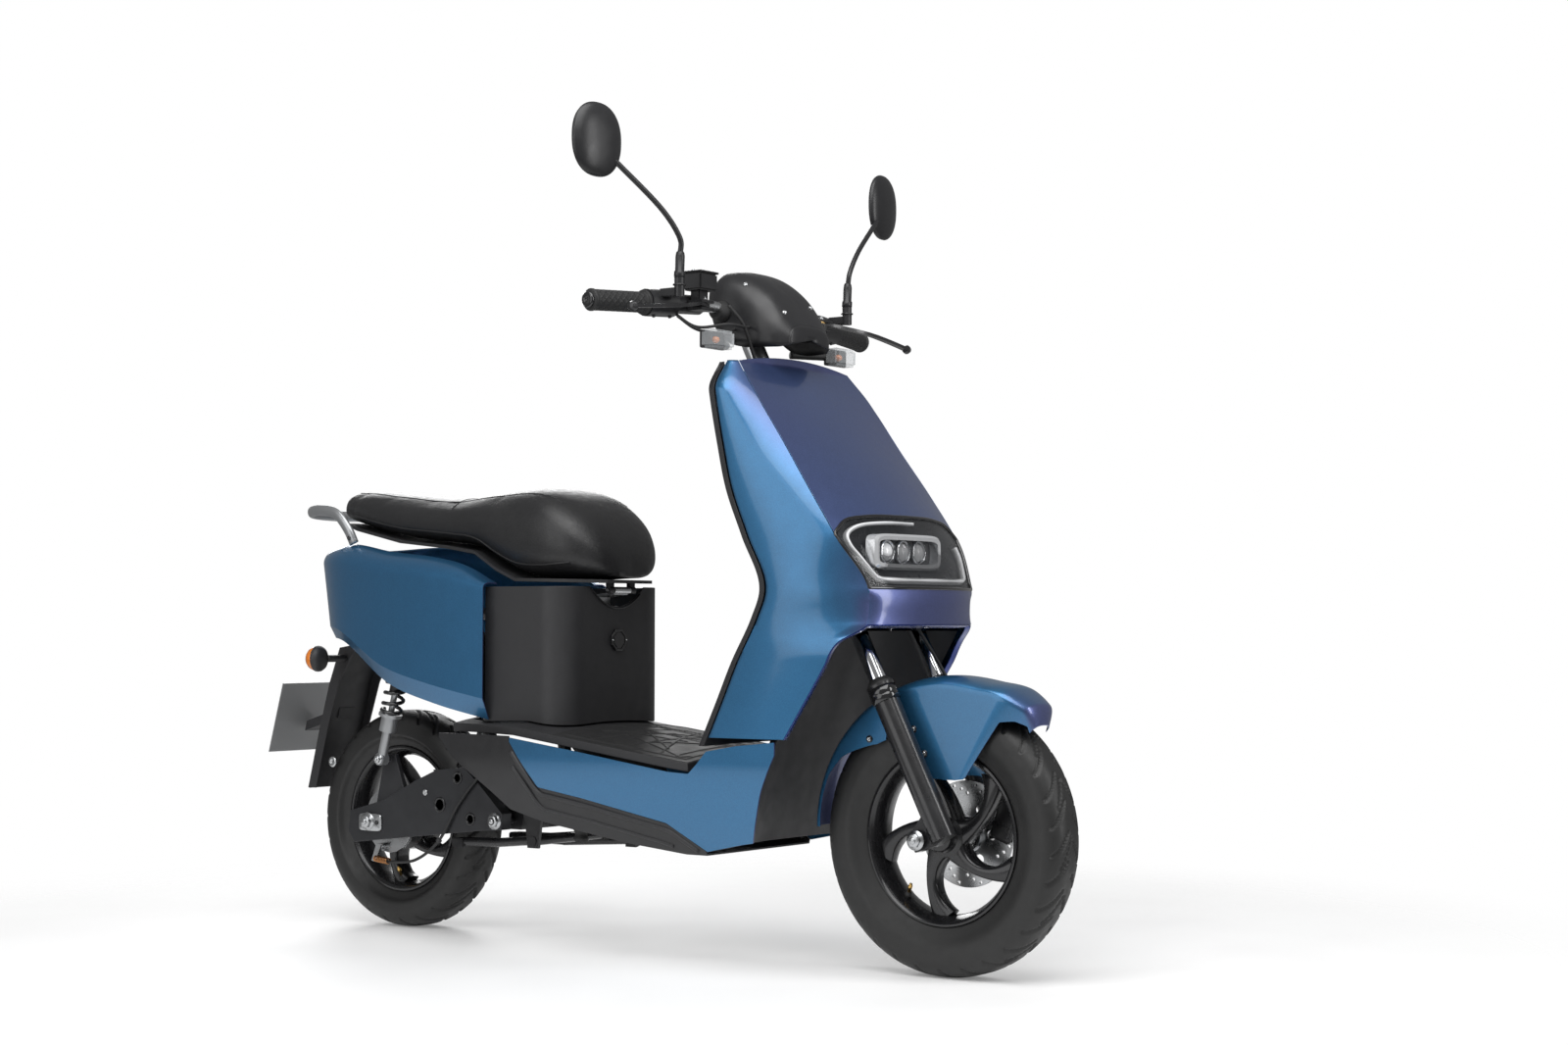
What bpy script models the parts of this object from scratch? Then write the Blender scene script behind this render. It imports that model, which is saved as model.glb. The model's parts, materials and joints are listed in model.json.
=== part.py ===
"""Electric moped scooter, built as separate named pieces with their joint axes.

Lengths are metres.  The design frame has X forward from the rear axle, Y to the
rider's left and Z up from the floor; SHIFT_X moves every piece so that the
origin ends under the middle of the whole scooter.
"""
import math

import bmesh
import bpy
import numpy as np
from mathutils import Matrix, Vector

# ---------------------------------------------------------------- driving sizes
WHEELBASE = 1.252            # between the axles
FRONT_TYRE_R = 0.233         # 12 inch front tyre, outside radius
REAR_TYRE_R = 0.2095         # 10 inch rear tyre, outside radius
FRONT_TYRE_W = 0.090
REAR_TYRE_W = 0.094
FRONT_RIM_R = 0.152          # where the tyre meets the rim
REAR_RIM_R = 0.144
GAP = 0.0004                 # clearance between two touching pieces
SHELL = 0.003                # wall of a moulded cover

RAKE = math.radians(26.9)    # head angle from the vertical
HEAD_POINT = (1.110, 0.0, 0.534)     # a point on the steering axis
FORK_LEAD = 0.030            # fork legs ahead of the steering axis
FORK_HALF = 0.088            # fork legs beside the middle plane
FORK_TUBE_R = 0.0150
FORK_LEG_R = 0.0235
LEG_TOP = -0.072             # along the steering axis from HEAD_POINT
LEG_FOOT = -0.350
TUBE_END = -0.212            # lower end of the fork tubes, inside the legs
FORK_TRAVEL = 0.045
CLAMP_LOW = 0.085
CLAMP_HIGH = 0.112
HEAD_LOW = 0.125             # head tube, lower end
HEAD_HIGH = 0.300
STEM_TOP = 0.640
STEM_R = 0.0125
AXLE_R = 0.0080

BAR_R = 0.0110
BAR_HALF = 0.386             # bar end beside the middle plane
GRIP_R = 0.0175
GRIP_IN = 0.272              # inner end of a grip
HOUSING_IN = 0.212           # inner end of a switch housing
PERCH_IN = 0.150             # inner end of a brake perch
MIRROR_OUT = 0.415           # mirror centre beside the middle plane
MIRROR_FOOT = 1.1725         # height where a mirror stem meets its boss

SHIELD_HALF = 0.210          # half width of the leg shield
DECK_HALF = 0.190
DECK_T = 0.015
TOWER_FRONT = 0.520
TOWER_BACK = 0.330
TOWER_HALF = 0.150
TOWER_TOP = 0.655
SEAT_HINGE = (0.529, 0.0, 0.6485)
ARM_PIVOT = (0.327, 0.0, 0.224)
ARM_IN = 0.092               # swing arm plates, inner face
ARM_T = 0.026
RAIL_Y = 0.100               # floor and seat rails beside the middle plane
SHOCK_Y = 0.130
CENTRE_STAND = (0.405, 0.0, 0.190)   # pivots of the two stands
SIDE_STAND = (0.470, 0.118, 0.180)
SHOCK_LOW = (0.046, 0.0, 0.330)
SHOCK_HIGH = (0.118, 0.0, 0.600)
PLATE_BACK = -0.314          # rearmost point, on the number plate

SHIFT_X = -(PLATE_BACK + WHEELBASE + FRONT_TYRE_R) / 2

SIDE_STAND_AXIS = Vector((0.0, -0.958, -0.287))
UP_AXIS = Vector((-math.sin(RAKE), 0.0, math.cos(RAKE)))
FORWARD_AXIS = Vector((math.cos(RAKE), 0.0, math.sin(RAKE)))


# ---------------------------------------------------------------- small helpers
def fork_point(along, lead, side):
    """A point given along the steering axis, ahead of it and to the left."""
    point = Vector(HEAD_POINT) + UP_AXIS * along + FORWARD_AXIS * lead
    return point + Vector((0.0, side, 0.0))


def curve(x, stations):
    """Value at x on the line through (x, value) stations."""
    places = [s[0] for s in stations]
    values = [s[1] for s in stations]
    if places[0] > places[-1]:
        places.reverse()
        values.reverse()
    return float(np.interp(x, places, values))


def smooth_path(points, per_span=4):
    """Catmull-Rom curve through the points."""
    pts = [Vector(p) for p in points]
    pts = [2 * pts[0] - pts[1]] + pts + [2 * pts[-1] - pts[-2]]
    out = []
    for i in range(1, len(pts) - 2):
        a, b, c, d = pts[i - 1], pts[i], pts[i + 1], pts[i + 2]
        for k in range(per_span):
            t = k / per_span
            out.append(0.5 * (2 * b + (c - a) * t + (2 * a - 5 * b + 4 * c - d) * t ** 2
                              + (3 * b - a - 3 * c + d) * t ** 3))
    out.append(pts[-2])
    return out


def solid(verts, faces):
    """A loose object from vertices and faces, with its normals facing out."""
    bm = bmesh.new()
    made = [bm.verts.new(v) for v in verts]
    for face in faces:
        bm.faces.new([made[i] for i in face])
    bmesh.ops.recalc_face_normals(bm, faces=bm.faces)
    mesh = bpy.data.meshes.new("raw")
    bm.to_mesh(mesh)
    bm.free()
    obj = bpy.data.objects.new("raw", mesh)
    bpy.context.scene.collection.objects.link(obj)
    return obj


def shell(outer, inner, closed=False):
    """Closed wall between two point grids; closed joins the last row to the first."""
    outer = np.asarray(outer, float)
    inner = np.asarray(inner, float)
    rows, cols = outer.shape[:2]
    verts = np.concatenate([outer.reshape(-1, 3), inner.reshape(-1, 3)]).tolist()
    half = rows * cols
    faces = []
    row_steps = rows if closed else rows - 1
    for i in range(row_steps):
        for j in range(cols - 1):
            a = i * cols + j
            b = ((i + 1) % rows) * cols + j
            faces.append((a, b, b + 1, a + 1))
            faces.append((half + a, half + a + 1, half + b + 1, half + b))
    for i in range(row_steps):
        for j in (0, cols - 1):
            a = i * cols + j
            b = ((i + 1) % rows) * cols + j
            faces.append((a, b, half + b, half + a))
    if not closed:
        for i in (0, rows - 1):
            for j in range(cols - 1):
                a = i * cols + j
                faces.append((a, a + 1, half + a + 1, half + a))
    return solid(verts, faces)


def axis_matrix(point, direction):
    """Places local Z along a direction, at a point."""
    turn = Vector((0, 0, 1)).rotation_difference(Vector(direction))
    return Matrix.Translation(Vector(point)) @ turn.to_matrix().to_4x4()


def lathe(profile, point, direction, segments=24, ring=False, phase=0.0):
    """Turns (radius, height) points about an axis; a ring's outline is closed."""
    place = axis_matrix(point, direction)
    verts = []
    rings = []
    for radius, height in profile:
        if radius <= 0.0:
            rings.append([len(verts)])
            verts.append(place @ Vector((0, 0, height)))
            continue
        rings.append(list(range(len(verts), len(verts) + segments)))
        for k in range(segments):
            turn = 2 * math.pi * (k + phase) / segments
            verts.append(place @ Vector((radius * math.cos(turn), radius * math.sin(turn), height)))
    pairs = list(zip(rings[:-1], rings[1:]))
    if ring:
        pairs.append((rings[-1], rings[0]))
    faces = []
    for low, high in pairs:
        if len(low) == 1 and len(high) == 1:
            continue
        for k in range(segments):
            n = (k + 1) % segments
            if len(low) == 1:
                faces.append((low[0], high[k], high[n]))
            elif len(high) == 1:
                faces.append((low[k], low[n], high[0]))
            else:
                faces.append((low[k], low[n], high[n], high[k]))
    return solid(verts, faces)


def rod(start, end, radius, segments=12):
    """Round bar between two points."""
    axis = Vector(end) - Vector(start)
    length = axis.length
    return lathe([(0, 0), (radius, 0), (radius, length), (0, length)], start, axis, segments)


def sleeve(start, end, outside, inside, segments=16):
    """Round tube between two points, open through."""
    axis = Vector(end) - Vector(start)
    length = axis.length
    profile = [(outside, 0), (outside, length), (inside, length), (inside, 0)]
    return lathe(profile, start, axis, segments, ring=True)


def sweep(points, section, up=(0, 0, 1)):
    """Carries a flat outline of (side, up) points along a path, with closed ends."""
    pts = [Vector(p) for p in points]
    verts = []
    for i, point in enumerate(pts):
        ahead = pts[min(i + 1, len(pts) - 1)] - pts[max(i - 1, 0)]
        ahead.normalize()
        side = ahead.cross(Vector(up)).normalized()
        lift = side.cross(ahead)
        verts += [point + side * a + lift * b for a, b in section]
    count = len(section)
    faces = [tuple(range(count)), tuple(range(len(verts) - count, len(verts)))]
    for i in range(len(pts) - 1):
        for k in range(count):
            n = (k + 1) % count
            base = i * count
            faces.append((base + k, base + n, base + count + n, base + count + k))
    return solid(verts, faces)


def circle(radius, sides):
    """Outline of a round section."""
    return [(radius * math.cos(2 * math.pi * k / sides), radius * math.sin(2 * math.pi * k / sides))
            for k in range(sides)]


def block(centre, size, bevel=0.0, turn=0.0):
    """Box with rounded edges, turned about Y by an angle."""
    bm = bmesh.new()
    bmesh.ops.create_cube(bm, size=1.0)
    bmesh.ops.scale(bm, vec=size, verts=bm.verts)
    if bevel > 0:
        bmesh.ops.bevel(bm, geom=bm.edges[:], offset=bevel, segments=2, affect="EDGES")
    bmesh.ops.rotate(bm, matrix=Matrix.Rotation(turn, 3, "Y"), verts=bm.verts)
    bmesh.ops.translate(bm, vec=centre, verts=bm.verts)
    mesh = bpy.data.meshes.new("raw")
    bm.to_mesh(mesh)
    bm.free()
    obj = bpy.data.objects.new("raw", mesh)
    bpy.context.scene.collection.objects.link(obj)
    return obj


def prism(outline, y_low, y_high):
    """Extrudes an (x, z) outline along Y."""
    count = len(outline)
    verts = [(x, y_low, z) for x, z in outline] + [(x, y_high, z) for x, z in outline]
    faces = [tuple(range(count)), tuple(range(2 * count - 1, count - 1, -1))]
    faces += [(k, (k + 1) % count, count + (k + 1) % count, count + k) for k in range(count)]
    return solid(verts, faces)


def combine(base, tools, operation):
    """Joins tools to a base, or cuts them from it, and bakes the result."""
    for tool in tools:
        modifier = base.modifiers.new("combine", "BOOLEAN")
        modifier.operation = operation
        modifier.solver = "EXACT"
        modifier.object = tool
    depsgraph = bpy.context.evaluated_depsgraph_get()
    mesh = bpy.data.meshes.new_from_object(base.evaluated_get(depsgraph))
    base.modifiers.clear()
    base.data = mesh
    for tool in tools:
        bpy.data.objects.remove(tool)
    return base


def union(base, *tools):
    return combine(base, tools, "UNION")


def cut(base, *tools):
    return combine(base, tools, "DIFFERENCE")


def mirrored(obj):
    """A copy on the other side of the middle plane."""
    bm = bmesh.new()
    bm.from_mesh(obj.data)
    for vert in bm.verts:
        vert.co.y = -vert.co.y
    bmesh.ops.reverse_faces(bm, faces=bm.faces)
    mesh = bpy.data.meshes.new("raw")
    bm.to_mesh(mesh)
    bm.free()
    copy = bpy.data.objects.new("raw", mesh)
    bpy.context.scene.collection.objects.link(copy)
    return copy


def material(name, colour, roughness, metallic=0.0):
    """Plain Principled material."""
    made = bpy.data.materials.new(name)
    made.use_nodes = True
    shader = made.node_tree.nodes["Principled BSDF"]
    shader.inputs["Base Color"].default_value = (*colour, 1.0)
    shader.inputs["Roughness"].default_value = roughness
    shader.inputs["Metallic"].default_value = metallic
    made.diffuse_color = (*colour, 1.0)
    return made


def node(name, obj, look, origin=(0.0, 0.0, 0.0)):
    """Names a finished piece, puts its origin on its joint and moves it to the final frame."""
    place = Vector(origin)
    obj.data.transform(Matrix.Translation(-place))
    obj.location = place + Vector((SHIFT_X, 0.0, 0.0))
    obj.name = name
    obj.data.name = name
    obj.data.materials.clear()
    obj.data.materials.append(look)
    obj.data.shade_smooth()
    obj.data.set_sharp_from_angle(angle=math.radians(35))
    return obj


# ---------------------------------------------------------------- wheels
def tyre(name, centre, outside, width, rim, look, origin):
    """Tyre whose tread is flat across the middle, turned with a flat at the floor."""
    half = width / 2
    segments = 36
    tread = outside / math.cos(math.pi / segments)
    profile = [(tread, 0.022), (tread - 0.006, 0.033), (outside - 0.020, half - 0.002),
               (outside - 0.040, half), (rim + 0.012, half - 0.009), (rim - 0.004, 0.030)]
    profile = [(r, -y) for r, y in reversed(profile)] + profile
    obj = lathe(profile, centre, (0, 1, 0), segments, ring=True, phase=0.5)
    return node(name, obj, look, origin)


def spoke(centre, inner, outer, turn, swirl, half):
    """One curved blade from the hub to the rim, in the wheel's plane."""
    steps = 4
    left = []
    right = []
    for k in range(steps + 1):
        share = k / steps
        radius = inner + (outer - inner) * share
        angle = turn + swirl * share ** 1.3
        width = 0.016 + 0.010 * (2 * share - 1) ** 2
        spread = width / radius
        for side, edge in ((-1, left), (1, right)):
            a = angle + side * spread / 2
            edge.append((centre[0] + radius * math.cos(a), centre[2] + radius * math.sin(a)))
    return prism(left + right[::-1], -half, half)


def rim(name, centre, radius, hub_radius, hub_half, half, spokes, swirl, look, bore):
    """Cast wheel: barrel, hub and curved spokes in one body."""
    seat = radius - 0.004 - GAP
    barrel = lathe([(seat, -0.033), (seat, 0.033), (seat - 0.012, 0.033), (seat - 0.012, -0.033)],
                   centre, (0, 1, 0), 36, ring=True, phase=0.5)
    hub = lathe([(0, -hub_half), (hub_radius, -hub_half), (hub_radius, hub_half), (0, hub_half)],
                centre, (0, 1, 0), 24)
    blades = [spoke(centre, hub_radius * 0.8, seat - 0.006, 2 * math.pi * k / spokes + 0.3, swirl, half)
              for k in range(spokes)]
    body = union(hub, barrel, *blades)
    reach = hub_half + 0.01
    body = cut(body, rod((centre[0], -reach, centre[2]), (centre[0], reach, centre[2]), bore, 16))
    return node(name, body, look, centre)


# ---------------------------------------------------------------- leg shield surfaces
# stations down the leg shield: height, then x and y of its front seam and rear edge
SEAM_X = [(1.036, 0.924), (0.980, 0.968), (0.889, 1.034), (0.812, 1.090), (0.734, 1.144),
          (0.646, 1.192), (0.586, 1.194), (0.557, 1.154), (0.517, 1.129), (0.395, 1.047)]
SEAM_Y = [(1.036, 0.160), (0.980, 0.172), (0.889, 0.177), (0.812, 0.184), (0.734, 0.186),
          (0.646, 0.158), (0.586, 0.163), (0.557, 0.190), (0.517, 0.195), (0.395, 0.195)]
REAR_X = [(1.036, 0.908), (0.980, 0.915), (0.889, 0.933), (0.812, 0.952), (0.734, 0.985),
          (0.646, 1.022), (0.597, 1.004), (0.523, 0.960), (0.460, 0.928), (0.375, 0.884)]
REAR_Y = [(1.036, 0.170), (0.980, SHIELD_HALF), (0.734, SHIELD_HALF), (0.375, SHIELD_HALF - 0.010)]
BULGE = [(1.050, 0.000), (0.980, 0.008), (0.889, 0.020), (0.812, 0.030), (0.734, 0.040),
         (0.646, 0.035), (0.586, 0.030)]
INNER_BULGE = [(1.036, 0.075), (0.980, 0.058), (0.889, 0.042), (0.812, 0.034), (0.734, 0.040),
               (0.646, 0.048), (0.597, 0.036), (0.523, 0.028), (0.385, 0.024)]
LENS_LOW = 0.645
NOSE_LOW = 0.586
SHIELD_TOP = 1.036
SHIELD_LOW = 0.395
SPINE = 0.12                 # how far behind a point its inward direction aims


def inward(point, depth):
    """Moves a shield point in by a depth, towards the middle plane and the rear."""
    x, y, z = point
    reach = math.hypot(SPINE, y)
    return (x - depth * SPINE / reach, y - depth * y / reach, z)


def front_point(share, z):
    """Point of the shield's front face; share runs -1 to 1 between the seams."""
    y = share * curve(z, SEAM_Y)
    return (curve(z, SEAM_X) + curve(z, BULGE) * (1 - share ** 2), y, z)


def side_point(share, z, side):
    """Point of the shield's side; share runs 0 at the rear edge to 1 at the seam."""
    xr, yr = curve(z, REAR_X), curve(z, REAR_Y)
    xs, ys = curve(z, SEAM_X), curve(z, SEAM_Y)
    xc, yc = xr + 0.6 * (xs - xr), yr + 0.004
    a, b, c = (1 - share) ** 2, 2 * share * (1 - share), share ** 2
    return (a * xr + b * xc + c * xs, side * (a * yr + b * yc + c * ys), z)


def inner_shield_x(share, z):
    """Front face of the rider's side of the leg shield."""
    return curve(z, REAR_X) - 0.0035 - curve(z, INNER_BULGE) * (1 - share ** 2)


def lens_top(share):
    """Upper edge of the headlight across its width."""
    return curve(abs(share), [(0.0, 0.768), (0.8, 0.760), (1.0, 0.736)])


def panel(rows, depth):
    """Shell from rows of outer points, its inner face moved in by a depth."""
    inner = [[inward(p, depth) for p in row] for row in rows]
    return shell(rows, inner)


def build_shield(blue, black, glass):
    """Painted shell round the headlight, its centre panel, lens, inner shield and wheel liner."""
    heights = [1.036, 0.980, 0.935, 0.889, 0.812, 0.734, 0.690, 0.646,
               0.616, 0.586, 0.557, 0.517, 0.460, SHIELD_LOW]
    sides = []
    for side in (-1, 1):
        rows = [[side_point(k / 5, z, side) for k in range(6)] for z in heights]
        sides.append(panel(rows, SHELL))
    shares = [k / 5 - 1 for k in range(11)]
    rows = [[front_point(s * 1.004, z) for s in shares] for z in (LENS_LOW - 0.0005, 0.616, NOSE_LOW)]
    nose = panel(rows, SHELL)
    node("apron_shell", union(nose, *sides), blue)

    trim = 0.994
    rows = []
    for share in shares:
        low = lens_top(share) + 0.0015
        high = SHIELD_TOP + 0.014 * (1 - share ** 2)
        rows.append([front_point(share * trim, high + (low - high) * k / 6) for k in range(7)])
    node("front_panel", panel(rows, SHELL), blue)

    rows = []
    for share in shares:
        low = LENS_LOW + 0.001
        high = lens_top(share)
        rows.append([inward(front_point(share * 0.985, low + (high - low) * k / 5), 0.0010)
                     for k in range(6)])
    node("headlight_lens", panel(rows, 0.004), glass)

    rows_back = []
    rows_front = []
    for z in [1.030, 0.980, 0.889, 0.812, 0.734, 0.690, 0.646, 0.597, 0.523, 0.460, 0.385]:
        back = []
        front = []
        for k in range(11):
            share = k / 5 - 1
            y = share * (curve(z, REAR_Y) - 0.001)
            x = inner_shield_x(share, z)
            front.append((x, y, z))
            back.append((x - 0.011, y, z))
        rows_back.append(back)
        rows_front.append(front)
    node("inner_shield", shell(rows_back, rows_front), black)

    rows = []
    rows_in = []
    for z in [0.575, 0.540, 0.500, 0.450, 0.400, 0.350, 0.300, 0.250, 0.215]:
        edge = curve(z, [(0.575, 1.150), (0.517, 1.115), (0.395, 1.030), (0.304, 0.980),
                         (0.215, 0.938)])
        middle = curve(z, [(0.575, 1.020), (0.500, 0.985), (0.400, 0.962), (0.300, 0.942),
                           (0.215, 0.925)])
        half = curve(z, [(0.575, 0.180), (0.395, 0.186), (0.350, 0.186), (0.215, 0.140)])
        row = []
        for k in range(13):
            share = k / 6 - 1
            row.append((middle + (edge - middle) * share ** 4, share * half, z))
        rows.append(row)
        rows_in.append([(x - 0.003, y, z) for x, y, z in row])
    node("wheel_liner", shell(rows, rows_in), black)


# ---------------------------------------------------------------- floor and skirts
DECK_Z = [(0.250, 0.404), (0.435, 0.402), (0.600, 0.380), (0.840, 0.349)]
DECK_W = [(0.250, 0.150), (0.320, 0.156), (0.435, DECK_HALF - 0.002), (0.600, DECK_HALF),
          (0.800, DECK_HALF), (0.842, DECK_HALF - 0.004)]
DECK_CROWN = 0.014
SKIRT_TOP = [(0.436, 0.383), (0.600, 0.362), (0.800, 0.334), (0.845, 0.332), (0.866, 0.350),
             (0.886, 0.371), (0.950, 0.382), (1.030, 0.390)]
SKIRT_LOW = [(0.436, 0.376), (0.495, 0.296), (0.600, 0.279), (0.777, 0.244), (0.853, 0.197),
             (0.932, 0.213), (0.957, 0.217), (0.994, 0.304), (1.030, 0.368)]
BELLY_LOW = [(0.262, 0.380), (0.295, 0.343), (0.376, 0.285), (0.417, 0.253), (0.489, 0.233),
             (0.672, 0.204), (0.805, 0.190), (0.850, 0.190)]


def deck_top(x, y):
    """Height of the deck's upper face."""
    share = min(1.0, abs(y) / curve(x, DECK_W))
    return curve(x, DECK_Z) + DECK_CROWN * (1 - share ** 2)


def skirt_y(z):
    """How far a skirt stands out beside the middle plane at a height."""
    return curve(z, [(0.190, 0.148), (0.250, 0.172), (0.340, DECK_HALF + 0.006),
                     (0.400, DECK_HALF + 0.008)])


def build_floor(blue, black, mat_black):
    """Deck plate, painted skirts and the belly pan with its side mouldings."""
    stations = [0.252, 0.285, 0.320, 0.378, 0.435, 0.500, 0.560, 0.620, 0.680, 0.740, 0.800, 0.838]
    top = []
    low = []
    for x in stations:
        ys = [curve(x, DECK_W) * (k / 5 - 1) for k in range(11)]
        top.append([(x, y, deck_top(x, y)) for y in ys])
        low.append([(x, y, curve(x, DECK_Z) - DECK_T) for y in ys])
    notches = [block((0.294, side * RAIL_Y, 0.400), (0.052, 0.034, 0.080)) for side in (-1, 1)]
    node("deck", cut(shell(top, low), *notches), mat_black)

    stations = [0.436, 0.465, 0.495, 0.550, 0.600, 0.690, 0.777, 0.815, 0.845, 0.866, 0.886,
                0.932, 0.957, 0.994, 1.030]
    rows = []
    for x in stations:
        high, base = curve(x, SKIRT_TOP), curve(x, SKIRT_LOW)
        heights = [high + (base - high) * k / 5 for k in range(6)]
        rows.append([(x, skirt_y(z), z) for z in heights])
    inner = [[(x, y - SHELL, z) for x, y, z in row] for row in rows]
    left = shell(rows, inner)
    right = mirrored(left)
    node("side_skirt_left", left, blue)
    node("side_skirt_right", right, blue)

    stations = [0.262, 0.295, 0.335, 0.376, 0.417, 0.434, 0.4352, 0.462, 0.495, 0.550, 0.600, 0.672,
                0.777, 0.805, 0.850]
    rows = []
    inner = []
    for x in stations:
        high = curve(x, DECK_Z) - DECK_T - 0.001
        if x > 0.435:
            high = curve(x, SKIRT_LOW) - 0.001
        base = curve(x, BELLY_LOW)
        high = max(high, base + 0.004)
        half = []
        half_in = []
        for k in range(5):
            z = high + (base - high) * k / 4
            half.append((skirt_y(z), z))
            half_in.append((skirt_y(z) - SHELL, max(z, base + SHELL)))
        half += [(0.125, base), (0.060, base), (0.0, base)]
        half_in += [(0.123, base + SHELL), (0.060, base + SHELL), (0.0, base + SHELL)]
        rows.append([(x, y, z) for y, z in half] + [(x, -y, z) for y, z in half[-2::-1]])
        inner.append([(x, y, z) for y, z in half_in] + [(x, -y, z) for y, z in half_in[-2::-1]])
    pan = shell(rows, inner)
    opening = block((0.300, 0, 0.300), (0.280, 0.270, 0.300))
    stand_slot = block((SIDE_STAND[0], 0.101, 0.240), (0.056, 0.011, 0.044))
    node("belly_pan", cut(cut(pan, opening), stand_slot), black)


# ---------------------------------------------------------------- seat and rear body
SEAT_BASE = [(-0.130, 0.790), (-0.050, 0.772), (0.070, 0.748), (0.200, 0.735), (0.273, 0.724),
             (0.330, 0.692), (0.380, 0.672), (0.560, 0.668)]
SEAT_CROWN = [(-0.132, 0.808), (-0.110, 0.838), (-0.060, 0.843), (0.040, 0.834), (0.200, 0.822),
              (0.300, 0.830), (0.380, 0.836), (0.440, 0.828), (0.490, 0.800), (0.525, 0.765),
              (0.550, 0.722), (0.560, 0.690)]
SEAT_HALF = [(-0.132, 0.050), (-0.110, 0.086), (-0.060, 0.108), (0.050, 0.122), (0.250, 0.132),
             (0.400, 0.140), (0.470, 0.134), (0.520, 0.108), (0.550, 0.070), (0.560, 0.040)]


def build_seat(leather, black, steel):
    """Cushion, its pan with hinge knuckles, and the hinge bracket on the tower."""
    stations = [-0.132, -0.110, -0.060, 0.000, 0.070, 0.140, 0.200, 0.273, 0.330, 0.380, 0.440,
                0.490, 0.525, 0.550, 0.560]
    verts = []
    faces = []
    sides = 16
    for x in stations:
        base, crown, half = curve(x, SEAT_BASE), curve(x, SEAT_CROWN), curve(x, SEAT_HALF)
        middle, lift = (base + crown) / 2, (crown - base) / 2
        for k in range(sides):
            turn = 2 * math.pi * k / sides
            c, s = math.cos(turn), math.sin(turn)
            y = half * math.copysign(abs(c) ** 0.7, c)
            verts.append((x, y, middle + lift * math.copysign(abs(s) ** 0.75, s)))
    for i in range(len(stations) - 1):
        for k in range(sides):
            n = (k + 1) % sides
            faces.append((i * sides + k, i * sides + n, (i + 1) * sides + n, (i + 1) * sides + k))
    faces.append(tuple(range(sides)))
    faces.append(tuple(range(len(verts) - sides, len(verts))))
    node("seat_cushion", solid(verts, faces), leather, SEAT_HINGE)

    top = []
    low = []
    for x in stations[1:-1]:
        half = curve(x, SEAT_HALF) * 0.90
        base = curve(x, SEAT_BASE) - 0.0012
        ys = [half * (k / 4 - 1) for k in range(9)]
        top.append([(x, y, base) for y in ys])
        low.append([(x, y, base - 0.006) for y in ys])
    pan = shell(top, low)
    knuckles = []
    for side in (-1, 1):
        y_in, y_out = side * 0.0225, side * 0.036
        knuckles.append(rod((SEAT_HINGE[0], y_in, SEAT_HINGE[2]), (SEAT_HINGE[0], y_out, SEAT_HINGE[2]),
                            0.0065, 12))
        knuckles.append(block((SEAT_HINGE[0] - 0.002, (y_in + y_out) / 2, SEAT_HINGE[2] + 0.009),
                              (0.009, 0.0135, 0.016)))
    pan = union(pan, *knuckles)
    bore = rod((SEAT_HINGE[0], -0.05, SEAT_HINGE[2]), (SEAT_HINGE[0], 0.05, SEAT_HINGE[2]), 0.0034, 12)
    node("seat_pan", cut(pan, bore), black, SEAT_HINGE)

    barrel = rod((SEAT_HINGE[0], -0.022, SEAT_HINGE[2]), (SEAT_HINGE[0], 0.022, SEAT_HINGE[2]), 0.0062,
                 12)
    pin = rod((SEAT_HINGE[0], -0.040, SEAT_HINGE[2]), (SEAT_HINGE[0], 0.040, SEAT_HINGE[2]), 0.0030, 12)
    hx, hz = SEAT_HINGE[0], SEAT_HINGE[2]
    leaf = prism([(hx, hz - 0.0025), (hx - 0.001, hz - 0.0085), (hx - 0.043, hz - 0.0125),
                  (hx - 0.043, hz - 0.060), (hx - 0.048, hz - 0.060), (hx - 0.048, hz - 0.0075)],
                 -0.019, 0.019)
    node("seat_hinge", union(barrel, pin, leaf), steel)


def tower_outline():
    """Plan of the tower's wall, from its left rear edge round the front to the right."""
    corner = 0.060
    points = [(TOWER_BACK, TOWER_HALF), ((TOWER_BACK + TOWER_FRONT - corner) / 2, TOWER_HALF - 0.002)]
    for k in range(5):
        turn = math.pi / 2 * (1 - k / 4)
        points.append((TOWER_FRONT - corner + corner * math.cos(turn),
                       TOWER_HALF - 0.004 - corner + corner * math.sin(turn)))
    points.append((TOWER_FRONT, 0.062))
    points.append((TOWER_FRONT, 0.031))
    left = points
    return left + [(TOWER_FRONT, 0.0)] + [(x, -y) for x, y in reversed(left)]


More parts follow.
